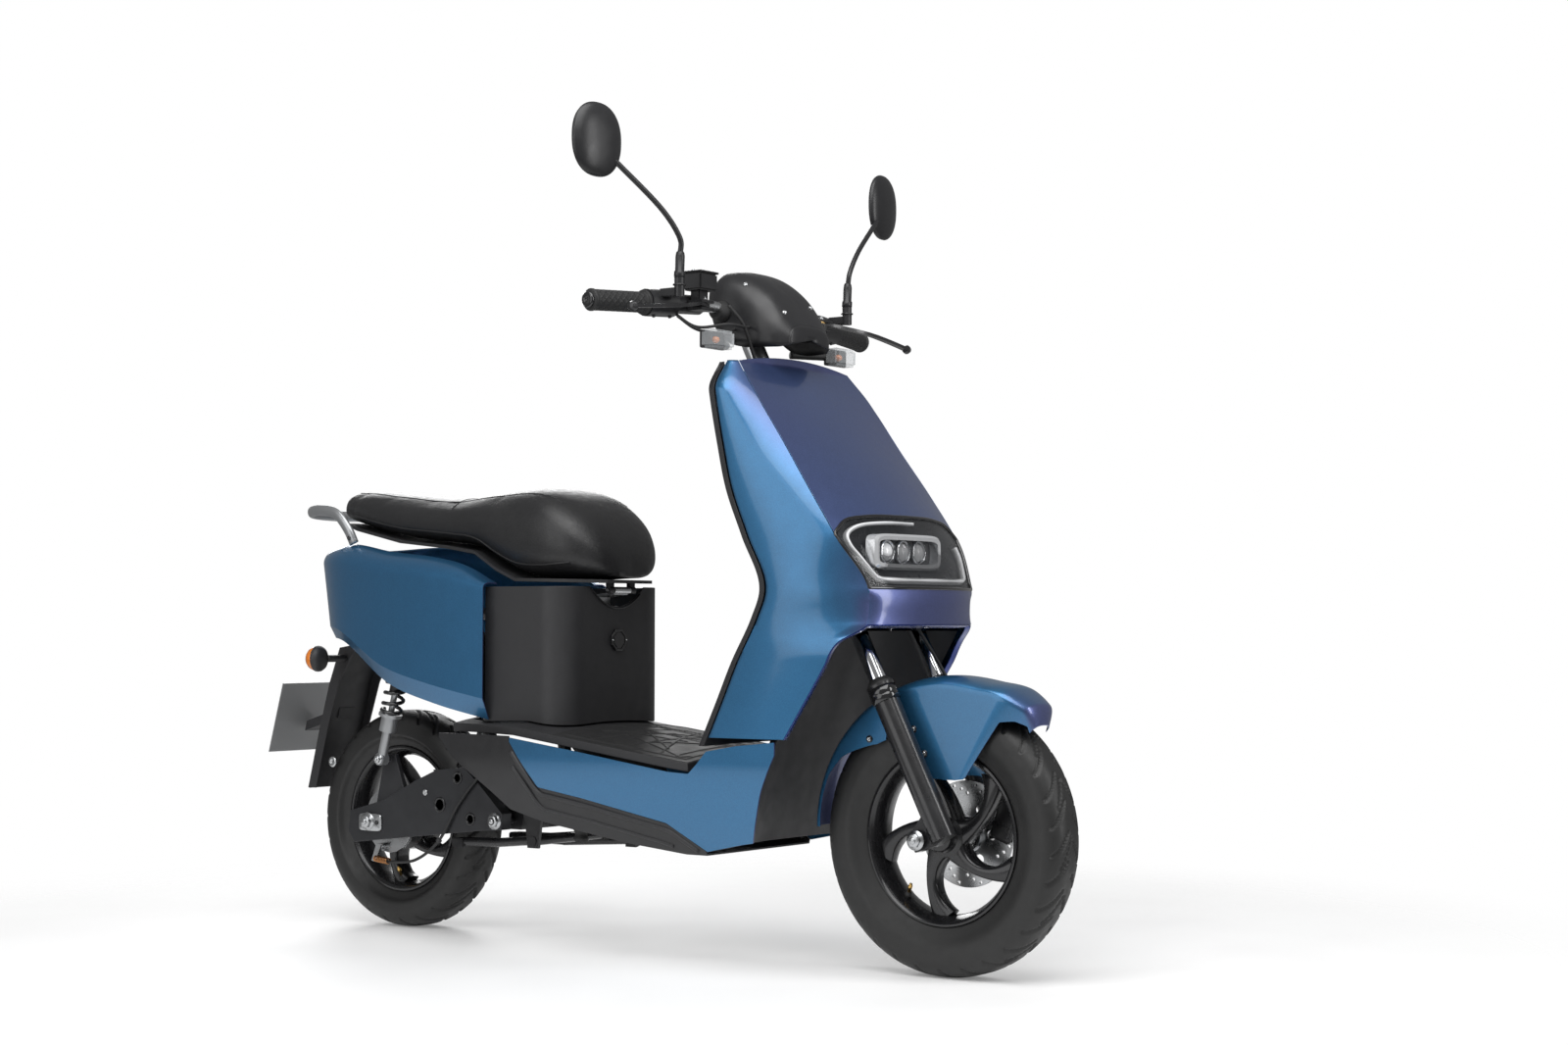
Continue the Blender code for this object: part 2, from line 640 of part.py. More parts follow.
def build_tower(black, dark):
    """Wall under the seat front, with the hinge recess and a charge port, and the battery inside."""
    outline = tower_outline()
    rows = []
    inner = []
    for x, y in outline:
        dip = 0.036 * max(0.0, 1 - (y / 0.075) ** 2) if x > TOWER_FRONT - 0.002 else 0.0
        low = deck_top(x, y) + 0.0035
        high = TOWER_TOP - dip
        heights = [low + (high - low) * k / 4 for k in range(5)]
        reach = math.hypot(x - 0.40, y)
        dx, dy = SHELL * (x - 0.40) / reach, SHELL * y / reach
        rows.append([(x, y, z) for z in heights])
        inner.append([(x - dx, y - dy, z) for z in heights])
    wall = shell(rows, inner)
    port = lathe([(0, 0), (0.0215, 0), (0.0215, 0.0065), (0.0165, 0.0065), (0.0165, 0.003), (0, 0.003)],
                 (TOWER_FRONT - 0.001, 0, 0.557), (1, 0, 0), 8, phase=0.5)
    node("seat_tower", union(wall, port), black)

    flap = lathe([(0, 0), (0.0150, 0), (0.0150, 0.0022), (0, 0.0022)],
                 (TOWER_FRONT + 0.0030, 0, 0.557), (1, 0, 0), 8, phase=0.5)
    node("charge_port_flap", flap, dark, (TOWER_FRONT + 0.0041, 0, 0.571))
    node("battery", block((0.405, 0, 0.530), (0.130, 0.170, 0.180), 0.008), dark)


REAR_PLAN = [(0.345, 0.172), (0.270, 0.175), (0.190, 0.176), (0.110, 0.174), (0.030, 0.168),
             (-0.040, 0.158), (-0.090, 0.142), (-0.130, 0.118), (-0.155, 0.088), (-0.170, 0.050),
             (-0.176, 0.022), (-0.178, 0.0005)]
REAR_RIM = [(-0.178, 0.730), (-0.050, 0.740), (0.070, 0.724), (0.200, 0.710), (0.273, 0.694),
            (0.345, 0.662)]
REAR_SHOULDER = [(-0.178, 0.706), (-0.060, 0.700), (0.070, 0.685), (0.200, 0.672), (0.345, 0.652)]
REAR_LOW = [(-0.178, 0.560), (-0.065, 0.552), (0.079, 0.475), (0.200, 0.441), (0.345, 0.412)]


def build_rear_body(blue, silver, red, amber, black, plate_grey):
    """Rear covers, grab rail, tail light, indicators, mudguard and number plate."""
    rows = []
    inner = []
    for k, (x, y) in enumerate(REAR_PLAN):
        share = k / (len(REAR_PLAN) - 1)
        lean = 0.40 * share ** 2
        rim_z, high, low = curve(x, REAR_RIM), curve(x, REAR_SHOULDER), curve(x, REAR_LOW)
        pull = max(0.0, 1 - 0.036 / max(y, 0.05))
        points = [(x + 0.012 * share, y * pull, rim_z),
                  (x, y * (pull + 1) / 2, (rim_z + high) / 2 + 0.004)]
        for j in range(5):
            z = high + (low - high) * j / 4
            points.append((x + lean * (high - z), y * (1 - 0.10 * (j / 4) ** 2), z))
        reach = math.hypot(x - 0.06, y * 1.4) + 1e-6
        dx, dy = SHELL * (x - 0.06) / reach, SHELL * y * 1.4 / reach
        dx = 0.0 if k == 0 else dx
        row_in = []
        for j, (px, py, pz) in enumerate(points):
            drop = SHELL if j < 2 else 0.0
            row_in.append((px - dx, max(py - dy, 0.0005), pz - drop))
        rows.append([(px, max(py, 0.0005), pz) for px, py, pz in points])
        inner.append(row_in)
    left = shell(rows, inner)
    right = mirrored(left)
    node("rear_cover_left", left, blue)
    node("rear_cover_right", right, blue)

    route = [(-0.036, 0.128, 0.742), (-0.048, 0.134, 0.770), (-0.078, 0.136, 0.800),
             (-0.130, 0.128, 0.808), (-0.180, 0.105, 0.806), (-0.205, 0.060, 0.804),
             (-0.212, 0.0, 0.803)]
    route = route + [(x, -y, z) for x, y, z in route[-2::-1]]
    section = [(-0.006, -0.004), (-0.003, -0.011), (0.003, -0.011), (0.006, -0.004),
               (0.006, 0.004), (0.003, 0.011), (-0.003, 0.011), (-0.006, 0.004)]
    node("grab_rail", sweep(smooth_path(route, 2), section, up=(0.05, 0, 1)), silver)

    node("tail_light", block((-0.1635, 0, 0.640), (0.014, 0.090, 0.034), 0.004, turn=-0.38), red)
    for side, word in ((-1, "right"), (1, "left")):
        lamp = lathe([(0, 0), (0.020, 0.0), (0.0255, 0.008), (0.0255, 0.022), (0.020, 0.032),
                      (0, 0.036)],
                     (-0.126, side * 0.120, 0.519), (-1, side * 0.25, 0), 16)
        stalk = rod((-0.134, side * 0.100, 0.519), (-0.134, side * 0.0565, 0.519), 0.007, 10)
        node(f"rear_indicator_{word}", union(lamp, stalk), amber)

    outline = [(-0.095, 0.548), (-0.150, 0.540), (-0.178, 0.470), (-0.205, 0.380), (-0.236, 0.262),
               (-0.231, 0.261), (-0.199, 0.381), (-0.172, 0.470), (-0.146, 0.534), (-0.095, 0.542)]
    guard = prism(outline, -0.056, 0.056)
    ribs = []
    for side in (-1, 1):
        rib = [(-0.095, 0.548), (-0.150, 0.540), (-0.178, 0.470), (-0.205, 0.380), (-0.236, 0.262),
               (-0.214, 0.262), (-0.182, 0.381), (-0.152, 0.470), (-0.120, 0.520)]
        ribs.append(prism(rib, side * 0.053, side * 0.056) if side > 0 else prism(rib, -0.056, -0.053))
    holder = prism([(-0.186, 0.420), (-0.190, 0.400), (-0.286, 0.372), (-0.281, 0.392)], -0.020, 0.020)
    node("rear_mudguard", union(guard, holder, *ribs), black)
    lean = math.atan2(0.040, 0.140)
    node("number_plate", block((PLATE_BACK + 0.0205, 0, 0.400), (0.0018, 0.180, 0.142), turn=lean),
         plate_grey)


# ---------------------------------------------------------------- frame and rear running gear
def build_frame(black):
    """Head tube, down tube, floor rails, seat rails and the lugs for the arm and shocks."""
    head = rod(fork_point(HEAD_LOW, 0, 0), fork_point(HEAD_HIGH, 0, 0), 0.0240, 16)
    parts = []
    spine = [(1.025, 0, 0.690), (0.992, 0, 0.590), (0.950, 0, 0.490), (0.924, 0, 0.400),
             (0.892, 0, 0.320), (0.850, 0, 0.268), (0.780, 0, 0.262)]
    parts.append(sweep(smooth_path(spine, 2), circle(0.018, 8), up=(1, 0, 0.3)))
    for side in (-1, 1):
        y = side * RAIL_Y
        rail = [(0.790, y, 0.262), (0.360, y, 0.262), (0.312, y, 0.300), (0.290, y, 0.420),
                (0.275, y, 0.560), (0.225, y, 0.600), (0.100, y, 0.606), (-0.090, y * 0.8, 0.620)]
        parts.append(sweep(rail, circle(0.0125, 8), up=(0, 1, 0)))
        lug = rod((SHOCK_HIGH[0], side * 0.098, SHOCK_HIGH[2]),
                  (SHOCK_HIGH[0], side * 0.139, SHOCK_HIGH[2]),
                  0.0060, 10)
        parts.append(lug)
    for x, z in ((0.785, 0.262), (0.340, 0.268), (-0.060, 0.617)):
        parts.append(rod((x, -0.098, z), (x, 0.098, z), 0.0115, 10))
    px, pz = ARM_PIVOT[0], ARM_PIVOT[2]
    parts.append(prism([(px - 0.022, pz - 0.018), (px + 0.022, pz - 0.018), (px + 0.036, 0.270),
                        (px + 0.004, 0.270), (px - 0.022, pz + 0.020)], -0.070, 0.070))
    parts.append(rod((px, -0.128, pz), (px, 0.128, pz), 0.0070, 12))
    sx, sz = CENTRE_STAND[0], CENTRE_STAND[2]
    ear = [(sx - 0.024, 0.262), (sx - 0.013, sz - 0.013), (sx + 0.013, sz - 0.013), (sx + 0.024, 0.262)]
    parts += [prism(ear, 0.0940, 0.1000), prism(ear, -0.1000, -0.0940)]
    kx, kz = SIDE_STAND[0], SIDE_STAND[2]
    parts.append(prism([(kx - 0.020, 0.262), (kx - 0.012, kz - 0.012), (kx + 0.012, kz - 0.012),
                        (kx + 0.020, 0.262)], 0.0985, 0.1035))
    frame = cut(union(head, *parts), rod((sx, -0.11, sz), (sx, 0.11, sz), 0.0095, 12))
    bore = rod(fork_point(HEAD_LOW - 0.02, 0, 0), fork_point(HEAD_HIGH + 0.02, 0, 0), STEM_R + 0.0015,
               16)
    node("frame", cut(frame, bore), black)


def build_rear_running_gear(dark, black, rubber, silver, steel):
    """Swing arm, axle with brake plate, wheel, shocks and the brake arm."""
    axle = (0.0, 0.0, REAR_TYRE_R)
    px, pz = ARM_PIVOT[0], ARM_PIVOT[2]
    outline = [(-0.056, 0.190), (-0.050, 0.228), (0.040, 0.252), (0.120, 0.290), (0.177, 0.313),
               (0.248, 0.320), (0.288, 0.289), (px + 0.018, pz + 0.014), (px + 0.016, pz - 0.016),
               (0.295, 0.205), (0.127, 0.186), (-0.040, 0.168)]
    plates = [prism(outline, ARM_IN, ARM_IN + ARM_T), prism(outline, -ARM_IN - ARM_T, -ARM_IN)]
    cross = rod((0.262, -ARM_IN - 0.01, 0.288), (0.262, ARM_IN + 0.01, 0.288), 0.0140, 12)
    ears = []
    for side in (-1, 1):
        y = side * (ARM_IN + 0.012)
        ear = prism([(0.010, 0.240), (0.085, 0.270), (SHOCK_LOW[0] + 0.014, SHOCK_LOW[2] + 0.008),
                     (SHOCK_LOW[0] - 0.014, SHOCK_LOW[2] + 0.008)], y - 0.005, y + 0.005)
        pin = rod((SHOCK_LOW[0], y, SHOCK_LOW[2]), (SHOCK_LOW[0], side * 0.139, SHOCK_LOW[2]), 0.0055,
                  10)
        ears += [ear, pin]
    arm = union(plates[0], plates[1], cross, *ears)
    holes = [rod((px, -0.15, pz), (px, 0.15, pz), 0.0074, 12),
             rod((0, -0.15, REAR_TYRE_R), (0, 0.15, REAR_TYRE_R), AXLE_R + GAP, 12)]
    node("swing_arm", cut(arm, *holes), dark, ARM_PIVOT)

    spindle = lathe([(0, -0.128), (AXLE_R, -0.128), (AXLE_R, -0.064), (0.064, -0.064), (0.064, -0.056),
                     (AXLE_R, -0.056), (AXLE_R, 0.128), (0, 0.128)], axle, (0, 1, 0), 20)
    stay = prism([(0.030, 0.225), (0.030, 0.195), (0.075, 0.205), (0.075, 0.222)], -0.0910, -0.0600)
    node("rear_axle", union(spindle, stay), steel)

    rim("rear_rim", axle, REAR_RIM_R, 0.060, 0.052, 0.030, 5, 0.55, black, AXLE_R + GAP)
    tyre("rear_tyre", axle, REAR_TYRE_R, REAR_TYRE_W, REAR_RIM_R, rubber, axle)

    low, high = Vector(SHOCK_LOW), Vector(SHOCK_HIGH)
    along = (high - low).normalized()
    for side, word in ((-1, "right"), (1, "left")):
        shift = Vector((0, side * SHOCK_Y, 0))
        a, b = low + shift, high + shift
        eye_low = rod(a - Vector((0, 0.008, 0)), a + Vector((0, 0.008, 0)), 0.0120, 14)
        clevis = rod(a + along * 0.004, a + along * 0.062, 0.0095, 12)
        damper = rod(a + along * 0.055, a + along * 0.086, 0.0160, 16)
        seat = rod(a + along * 0.084, a + along * 0.090, 0.0225, 16)
        piston = rod(a + along * 0.085, a + along * 0.150, 0.0060, 12)
        body = union(damper, eye_low, clevis, seat, piston)
        bore = rod(a - Vector((0, 0.02, 0)), a + Vector((0, 0.02, 0)), 0.0058, 12)
        node(f"shock_rod_{word}", cut(body, bore), silver, a)
        eye_high = rod(b - Vector((0, 0.008, 0)), b + Vector((0, 0.008, 0)), 0.0120, 14)
        cup = rod(b - along * 0.024, b - along * 0.006, 0.0225, 16)
        tube = rod(b - along * 0.150, b - along * 0.020, 0.0115, 14)
        body = union(tube, eye_high, cup)
        bores = [rod(b - Vector((0, 0.02, 0)), b + Vector((0, 0.02, 0)), 0.0064, 12),
                 rod(b - along * 0.160, b - along * 0.034, 0.0066, 12)]
        node(f"shock_body_{word}", cut(body, *bores), black, b)

    pivot = (-0.012, -0.0690, 0.158)
    cam = rod((pivot[0], -0.0750, pivot[2]), (pivot[0], -0.0644, pivot[2]), 0.0060, 12)
    lever = prism([(-0.019, 0.163), (-0.005, 0.163), (-0.022, 0.128), (-0.032, 0.130)], -0.0800,
                  -0.0740)
    node("rear_brake_arm", union(lever, cam), steel, pivot)


# ---------------------------------------------------------------- front running gear
def build_fork(steel, black, rubber, blue):
    """Yoke with its tubes, lower legs, fender, wheel, disc and caliper."""
    axle = (WHEELBASE, 0.0, FRONT_TYRE_R)
    stem = rod(fork_point(CLAMP_LOW + 0.005, 0, 0), fork_point(STEM_TOP, 0, 0), STEM_R, 16)
    corners = [fork_point(a, lead, 0) for a, lead in
               ((CLAMP_LOW, -0.022), (CLAMP_LOW, FORK_LEAD + 0.020), (CLAMP_HIGH, FORK_LEAD + 0.020),
                (CLAMP_HIGH, -0.022))]
    clamp = prism([(p.x, p.z) for p in corners], -FORK_HALF - 0.021, FORK_HALF + 0.021)
    tubes = [rod(fork_point(TUBE_END, FORK_LEAD, s * FORK_HALF),
                 fork_point(CLAMP_HIGH + 0.01, FORK_LEAD, s * FORK_HALF),
                 FORK_TUBE_R, 14) for s in (-1, 1)]
    node("fork_yoke", union(clamp, stem, *tubes), steel, HEAD_POINT)

    legs = []
    bores = []
    foot = fork_point(LEG_FOOT, FORK_LEAD, 0)
    for side in (-1, 1):
        y = side * FORK_HALF
        low, high = fork_point(LEG_FOOT, FORK_LEAD, y), fork_point(LEG_TOP, FORK_LEAD, y)
        legs.append(rod(low, high, FORK_LEG_R - 0.0015, 16))
        legs.append(rod(high - UP_AXIS * 0.022, high + UP_AXIS * 0.001, FORK_LEG_R, 20))
        web = [(axle[0] - 0.020, axle[2] - 0.004), (axle[0] - 0.006, axle[2] - 0.021),
               (foot.x - 0.008, foot.z - 0.010), (foot.x + 0.016, foot.z + 0.010),
               (foot.x - 0.020, foot.z + 0.060), (axle[0] - 0.010, axle[2] + 0.018)]
        legs.append(prism(web, y - 0.011, y + 0.011))
        bores.append(rod(fork_point(TUBE_END - FORK_TRAVEL - 0.007, FORK_LEAD, y), high + UP_AXIS * 0.02,
                         FORK_TUBE_R + 0.0005, 14))
    spindle = rod((axle[0], -0.112, axle[2]), (axle[0], 0.112, axle[2]), AXLE_R, 12)
    nuts = [rod((axle[0], s * 0.098, axle[2]), (axle[0], s * 0.108, axle[2]), 0.0135, 6)
            for s in (-1, 1)]
    lower = union(spindle, *legs, *nuts)
    node("fork_lower", cut(lower, *bores), black, fork_point(LEG_TOP, FORK_LEAD, 0))

    rim("front_rim", axle, FRONT_RIM_R, 0.034, 0.042, 0.022, 5, 0.60, black, AXLE_R + GAP)
    tyre("front_tyre", axle, FRONT_TYRE_R, FRONT_TYRE_W, FRONT_RIM_R, rubber, axle)
    disc = lathe([(0.090, 0.0500), (0.090, 0.0540), (0.024, 0.0540), (0.024, 0.0424), (0.030, 0.0424),
                  (0.030, 0.0500)], axle, (0, 1, 0), 32, ring=True)
    node("brake_disc", disc, steel, axle)
    caliper = block((1.331, 0.0520, 0.262), (0.042, 0.0230, 0.080), 0.004, turn=0.35)
    slot = rod((axle[0], 0.0490, axle[2]), (axle[0], 0.0550, axle[2]), 0.0925, 32)
    node("brake_caliper", cut(caliper, slot), black)
    build_fender(blue, axle)


def build_fender(blue, axle):
    """Front mudguard: an arched crown that drops to a pointed side panel beside each leg."""
    crown = [(46, 0.262), (52, 0.284), (60, 0.284), (72, 0.273), (90, 0.268), (110, 0.262),
             (135, 0.255), (178, 0.249)]
    hem = [(46, 0.254), (52, 0.244), (60, 0.222), (68, 0.120), (78, 0.108), (90, 0.175),
           (100, 0.215), (120, 0.232), (178, 0.232)]
    angles = [46, 50, 55, 61, 67, 72, 78, 84, 90, 97, 106, 118, 132, 148, 164, 178]
    rows = []
    inner = []
    for angle in angles:
        top, low = curve(angle, crown), curve(angle, hem)
        half = curve(angle, [(46, 0.026), (52, 0.046), (62, 0.0590), (120, 0.0590), (178, 0.0560)])
        shoulder = top - 0.016
        low = min(low, shoulder - 0.006)
        profile = [(half, low), (half, (low + shoulder) / 2), (half, shoulder),
                   (half * 0.82, top - 0.005),
                   (half * 0.42, top), (0.0, top + 0.002)]
        profile_in = [(half - 0.0025, low), (half - 0.0025, (low + shoulder) / 2),
                      (half - 0.0025, shoulder - 0.001), (half * 0.82 - 0.0015, top - 0.0075),
                      (half * 0.42, top - 0.0025), (0.0, top - 0.0005)]
        turn = math.radians(angle)
        for points, grid in ((profile, rows), (profile_in, inner)):
            full = points + [(-y, r) for y, r in points[-2::-1]]
            grid.append([(axle[0] + r * math.cos(turn), y, axle[2] + r * math.sin(turn))
                         for y, r in full])
    node("front_fender", shell(rows, inner), blue)


# ---------------------------------------------------------------- handlebar
BAR_STRAIGHT_IN = Vector((0.832, 0.130, 1.139))
BAR_STRAIGHT_OUT = Vector((0.793, BAR_HALF, 1.125))


def bar_point(y):
    """Point on the straight outer stretch of the bar, at a distance to the left."""
    share = (abs(y) - BAR_STRAIGHT_IN.y) / (BAR_STRAIGHT_OUT.y - BAR_STRAIGHT_IN.y)
    point = BAR_STRAIGHT_IN.lerp(BAR_STRAIGHT_OUT, share)
    point.y = math.copysign(point.y, y)
    return point


def build_bar(steel, black, rubber, glass, silver):
    """Bar, cover, display, grips, switch housings, levers, mirrors and front indicators."""
    low = fork_point(STEM_TOP - 0.075, 0, 0)
    high = fork_point(STEM_TOP + 0.016, 0, 0)
    route = [bar_point(-BAR_HALF), bar_point(-0.14), (0.836, -0.085, 1.128),
             (high.x + 0.004, -0.035, high.z - 0.006),
             (high.x + 0.004, 0.035, high.z - 0.006), (0.836, 0.085, 1.128), bar_point(0.14),
             bar_point(BAR_HALF)]
    bar = sweep(route, circle(BAR_R, 12), up=(0, 0, 1))
    neck = rod(low, high, 0.0190, 16)
    bar = union(neck, bar)
    bore = rod(low - UP_AXIS * 0.02, fork_point(STEM_TOP + 0.0005, 0, 0), STEM_R + GAP, 16)
    node("handlebar", cut(bar, bore), steel, HEAD_POINT)

    stations = [(0.795, 0.078, 1.150, 1.196), (0.815, 0.088, 1.110, 1.210),
                (0.845, 0.092, 1.080, 1.208),
                (0.880, 0.090, 1.068, 1.194), (0.915, 0.084, 1.066, 1.166),
                (0.940, 0.074, 1.066, 1.134),
                (0.958, 0.058, 1.070, 1.106)]
    rows = []
    inner = []
    for x, half, base, crown in stations:
        row = []
        row_in = []
        for k in range(13):
            turn = math.pi * k / 12
            c, s = math.cos(turn), math.sin(turn)
            y = half * math.copysign(abs(c) ** 0.6, c)
            z = base + (crown - base) * s ** 0.6
            row.append((x, y, z))
            row_in.append((x - 0.0008, y - math.copysign(min(abs(y), SHELL) * abs(c) ** 0.3, c),
                           z - SHELL * s ** 0.5))
        rows.append(row)
        inner.append(row_in)
    hood = shell(rows, inner)
    nose = block((0.9575, 0, 1.088), (0.003, 0.100, 0.034))
    hood = union(hood, nose)
    slots = [block((0.834, s * 0.085, 1.126), (0.034, 0.060, 0.036)) for s in (-1, 1)]
    node("cockpit_cover", cut(hood, *slots), black, HEAD_POINT)
    node("dash_display", block((0.7865, 0, 1.174), (0.006, 0.118, 0.036), 0.001, turn=0.25), glass,
         HEAD_POINT)

    for side, word in ((-1, "throttle_grip"), (1, "left_grip")):
        inner_end, outer_end = bar_point(side * GRIP_IN), bar_point(side * (BAR_HALF + 0.008))
        length = (outer_end - inner_end).length
        profile = [(0, 0), (GRIP_R + 0.004, 0), (GRIP_R + 0.004, 0.005), (GRIP_R, 0.006),
                   (GRIP_R, length - 0.010),
                   (GRIP_R + 0.002, length - 0.008), (GRIP_R - 0.003, length), (0, length)]
        grip = lathe(profile, inner_end, outer_end - inner_end, 18)
        bore = rod(bar_point(side * (GRIP_IN - 0.02)), bar_point(side * (BAR_HALF + 0.0005)),
                   BAR_R + 0.0004, 16)
        node(word, cut(grip, bore), rubber, inner_end)
    build_controls(black, silver)
    build_mirrors(black)
    for side, word in ((-1, "right"), (1, "left")):
        lamp = block((0.896, side * 0.180, 1.071), (0.030, 0.062, 0.032), 0.005)
        stalk = rod((0.880, side * 0.155, 1.071), (0.846, side * 0.094, 1.071), 0.0060, 10)
        node(f"front_indicator_{word}", union(lamp, stalk), glass, HEAD_POINT)


def build_controls(black, silver):
    """Housings on the bar with their buttons, brake perches and levers."""
    for side, word in ((-1, "right"), (1, "left")):
        housing = sleeve(bar_point(side * HOUSING_IN), bar_point(side * (GRIP_IN - 0.001)), 0.0235,
                         BAR_R + 0.0004, 18)
        perch = sleeve(bar_point(side * PERCH_IN), bar_point(side * (HOUSING_IN + 0.004)), 0.0170,
                       BAR_R + 0.0004, 16)
        boss = rod((0.864, side * 0.245, 1.140), (0.864, side * 0.245, MIRROR_FOOT - GAP), 0.0090, 12)
        bridge = block((0.846, side * 0.245, 1.148), (0.034, 0.022, 0.014), 0.001)
        middle = bar_point(side * 0.175)
        neck = block(middle + Vector((0.0300, 0, -0.004)), (0.030, 0.036, 0.018), 0.001)
        tools = [perch, boss, bridge, neck]
        pivot = middle + Vector((0.034, side * -0.004, -0.004))
        if side < 0:
            tank = block(middle + Vector((0.028, 0, 0.036)), (0.040, 0.048, 0.030), 0.003)
            post = block(middle + Vector((0.026, 0, 0.012)), (0.020, 0.026, 0.030), 0.002)
            tools += [tank, post]
        body = union(housing, *tools)
        slot = block(pivot + Vector((0.006, side * 0.004, 0)), (0.034, 0.060, 0.0085))
        button_at = bar_point(side * 0.236) + Vector((-0.0180, 0, -0.0100))
        socket = rod(button_at + Vector((-0.012, 0, -0.004)), button_at + Vector((0.004, 0, 0.001)),
                     0.0055, 12)
        node(f"{word}_controls", cut(body, slot, socket), black, HEAD_POINT)
        push = Vector((0.016, 0, 0.005)).normalized()
        button = rod(button_at - push * 0.0075, button_at + push * 0.0010, 0.0050, 12)
        node("start_button" if side < 0 else "horn_button", button, silver, button_at)

        tip = Vector((0.893, side * 0.400, 1.106))
        route = smooth_path([pivot + Vector((0.000, side * -0.006, 0)),
                             pivot + Vector((0.010, side * 0.030, 0)),
                             Vector((0.900, side * 0.260, 1.122)), Vector((0.902, side * 0.330, 1.113)),
                             tip], 3)
        blade = sweep(route, [(-0.006, -0.0028), (0.006, -0.0028), (0.006, 0.0028), (-0.006, 0.0028)])
        ball = lathe([(0, -0.009), (0.006, -0.007), (0.009, 0), (0.006, 0.007), (0, 0.009)], tip,
                     (0, 1, 0), 10)
        node(f"brake_lever_{word}", union(blade, ball), black, pivot)


def build_mirrors(black):
    """Round-section stem and oval head on each side, one body that turns on its base."""
    for side, word in ((-1, "right"), (1, "left")):
        base = Vector((0.864, side * 0.245, MIRROR_FOOT))
        head = Vector((0.826, side * MIRROR_OUT, 1.385))
        collar = rod(base, base + Vector((0.002, 0, 0.045)), 0.0095, 12)
        route = smooth_path([base + Vector((0.002, 0, 0.040)), (0.868, side * 0.250, 1.240),
                             (0.860, side * 0.290, 1.285), (0.840, side * 0.370, 1.345),
                             (0.832, side * 0.392, 1.362)], 3)
        stem = sweep(route, circle(0.0048, 10), up=(1, 0, 0))
        bm_head = ellipsoid(head, (0.016, 0.052, 0.062), side)
        node(f"mirror_{word}", union(bm_head, collar, stem), black, base)


def ellipsoid(centre, radii, side):
    """Oval mirror shell with a flat back face for the glass."""
    profile = []
    for k in range(5):
        turn = math.pi / 2 * k / 4
        profile.append((math.cos(turn), math.sin(turn)))
    shape = [(0, -0.25), (0.96, -0.25)] + profile[:-1] + [(0, 1.0)]
    obj = lathe(shape, (0, 0, 0), (0, 0, 1), 18)
    turn = Matrix.Rotation(math.radians(90), 4, "Y")
    tilt = Matrix.Rotation(math.radians(8 * side), 4, "Z")
    scale = Matrix.Diagonal((radii[0], radii[1], radii[2], 1.0))
    obj.data.transform(Matrix.Translation(centre) @ tilt @ scale @ turn)
    return obj


# ---------------------------------------------------------------- stands, cables, key
def build_stands(black):
    """Side stand folded along the left and centre stand folded under the belly."""
    pivot = Vector(SIDE_STAND)
    leg = sweep(smooth_path([pivot, pivot + Vector((-0.060, 0.004, -0.004)),
                             pivot + Vector((-0.190, 0.006, -0.012))], 3),
                circle(0.0080, 10), up=(0, 1, 0))
    shoe = block(pivot + Vector((-0.197, 0.007, -0.013)), (0.030, 0.026, 0.010), 0.002)
    hub = rod(pivot - SIDE_STAND_AXIS * 0.008, pivot + SIDE_STAND_AXIS * 0.008, 0.0120, 12)
    node("side_stand", union(leg, shoe, hub), black, pivot)
    pivot = Vector(CENTRE_STAND)
    bar = rod(pivot - Vector((0, 0.1015, 0)), pivot + Vector((0, 0.1015, 0)), 0.0090, 12)
    legs = []
    for side in (-1, 1):
        legs.append(sweep([pivot + Vector((0, side * 0.070, 0)),
                           pivot + Vector((-0.110, side * 0.072, -0.010)),
                           pivot + Vector((-0.200, side * 0.078, -0.012))], circle(0.0085, 10),
                          up=(0, 1, 0)))
        legs.append(block(pivot + Vector((-0.202, side * 0.078, -0.014)), (0.030, 0.020, 0.018), 0.002))
    node("centre_stand", union(bar, *legs), black, pivot)


def hose(name, points, radius, look, origin=(0.0, 0.0, 0.0)):
    """Cable as a bevelled curve through its own points."""
    data = bpy.data.curves.new(name, "CURVE")
    data.dimensions = "3D"
    data.bevel_depth = radius
    data.bevel_resolution = 2
    data.use_fill_caps = True
    path = smooth_path(points, 3)
    spline = data.splines.new("POLY")
    spline.points.add(len(path) - 1)
    for slot, point in zip(spline.points, path):
        slot.co = (*(Vector(point) - Vector(origin)), 1.0)
    obj = bpy.data.objects.new(name, data)
    bpy.context.scene.collection.objects.link(obj)
    obj.location = Vector(origin) + Vector((SHIFT_X, 0.0, 0.0))
    data.materials.append(look)
    return obj


FRONT_HOSE = [(0.888, -0.140, 1.134), (0.905, -0.120, 1.100), (0.905, -0.085, 1.040),
              (0.930, -0.060, 0.960), (0.990, -0.055, 0.860), (1.040, -0.055, 0.760), (1.090, -0.052, 0.690),
              (1.158, -0.030, 0.640), (1.175, 0.020, 0.575), (1.178, 0.064, 0.530), (1.212, 0.0750, 0.470)]
REAR_CABLE = [(0.368, -0.132, 0.316), (0.338, -0.129, 0.330), (0.300, -0.1235, 0.312),
              (0.240, -0.1225, 0.252),
              (0.190, -0.1225, 0.182), (0.120, -0.112, 0.142), (0.040, -0.094, 0.132),
              (-0.0160, -0.0850, 0.1310)]


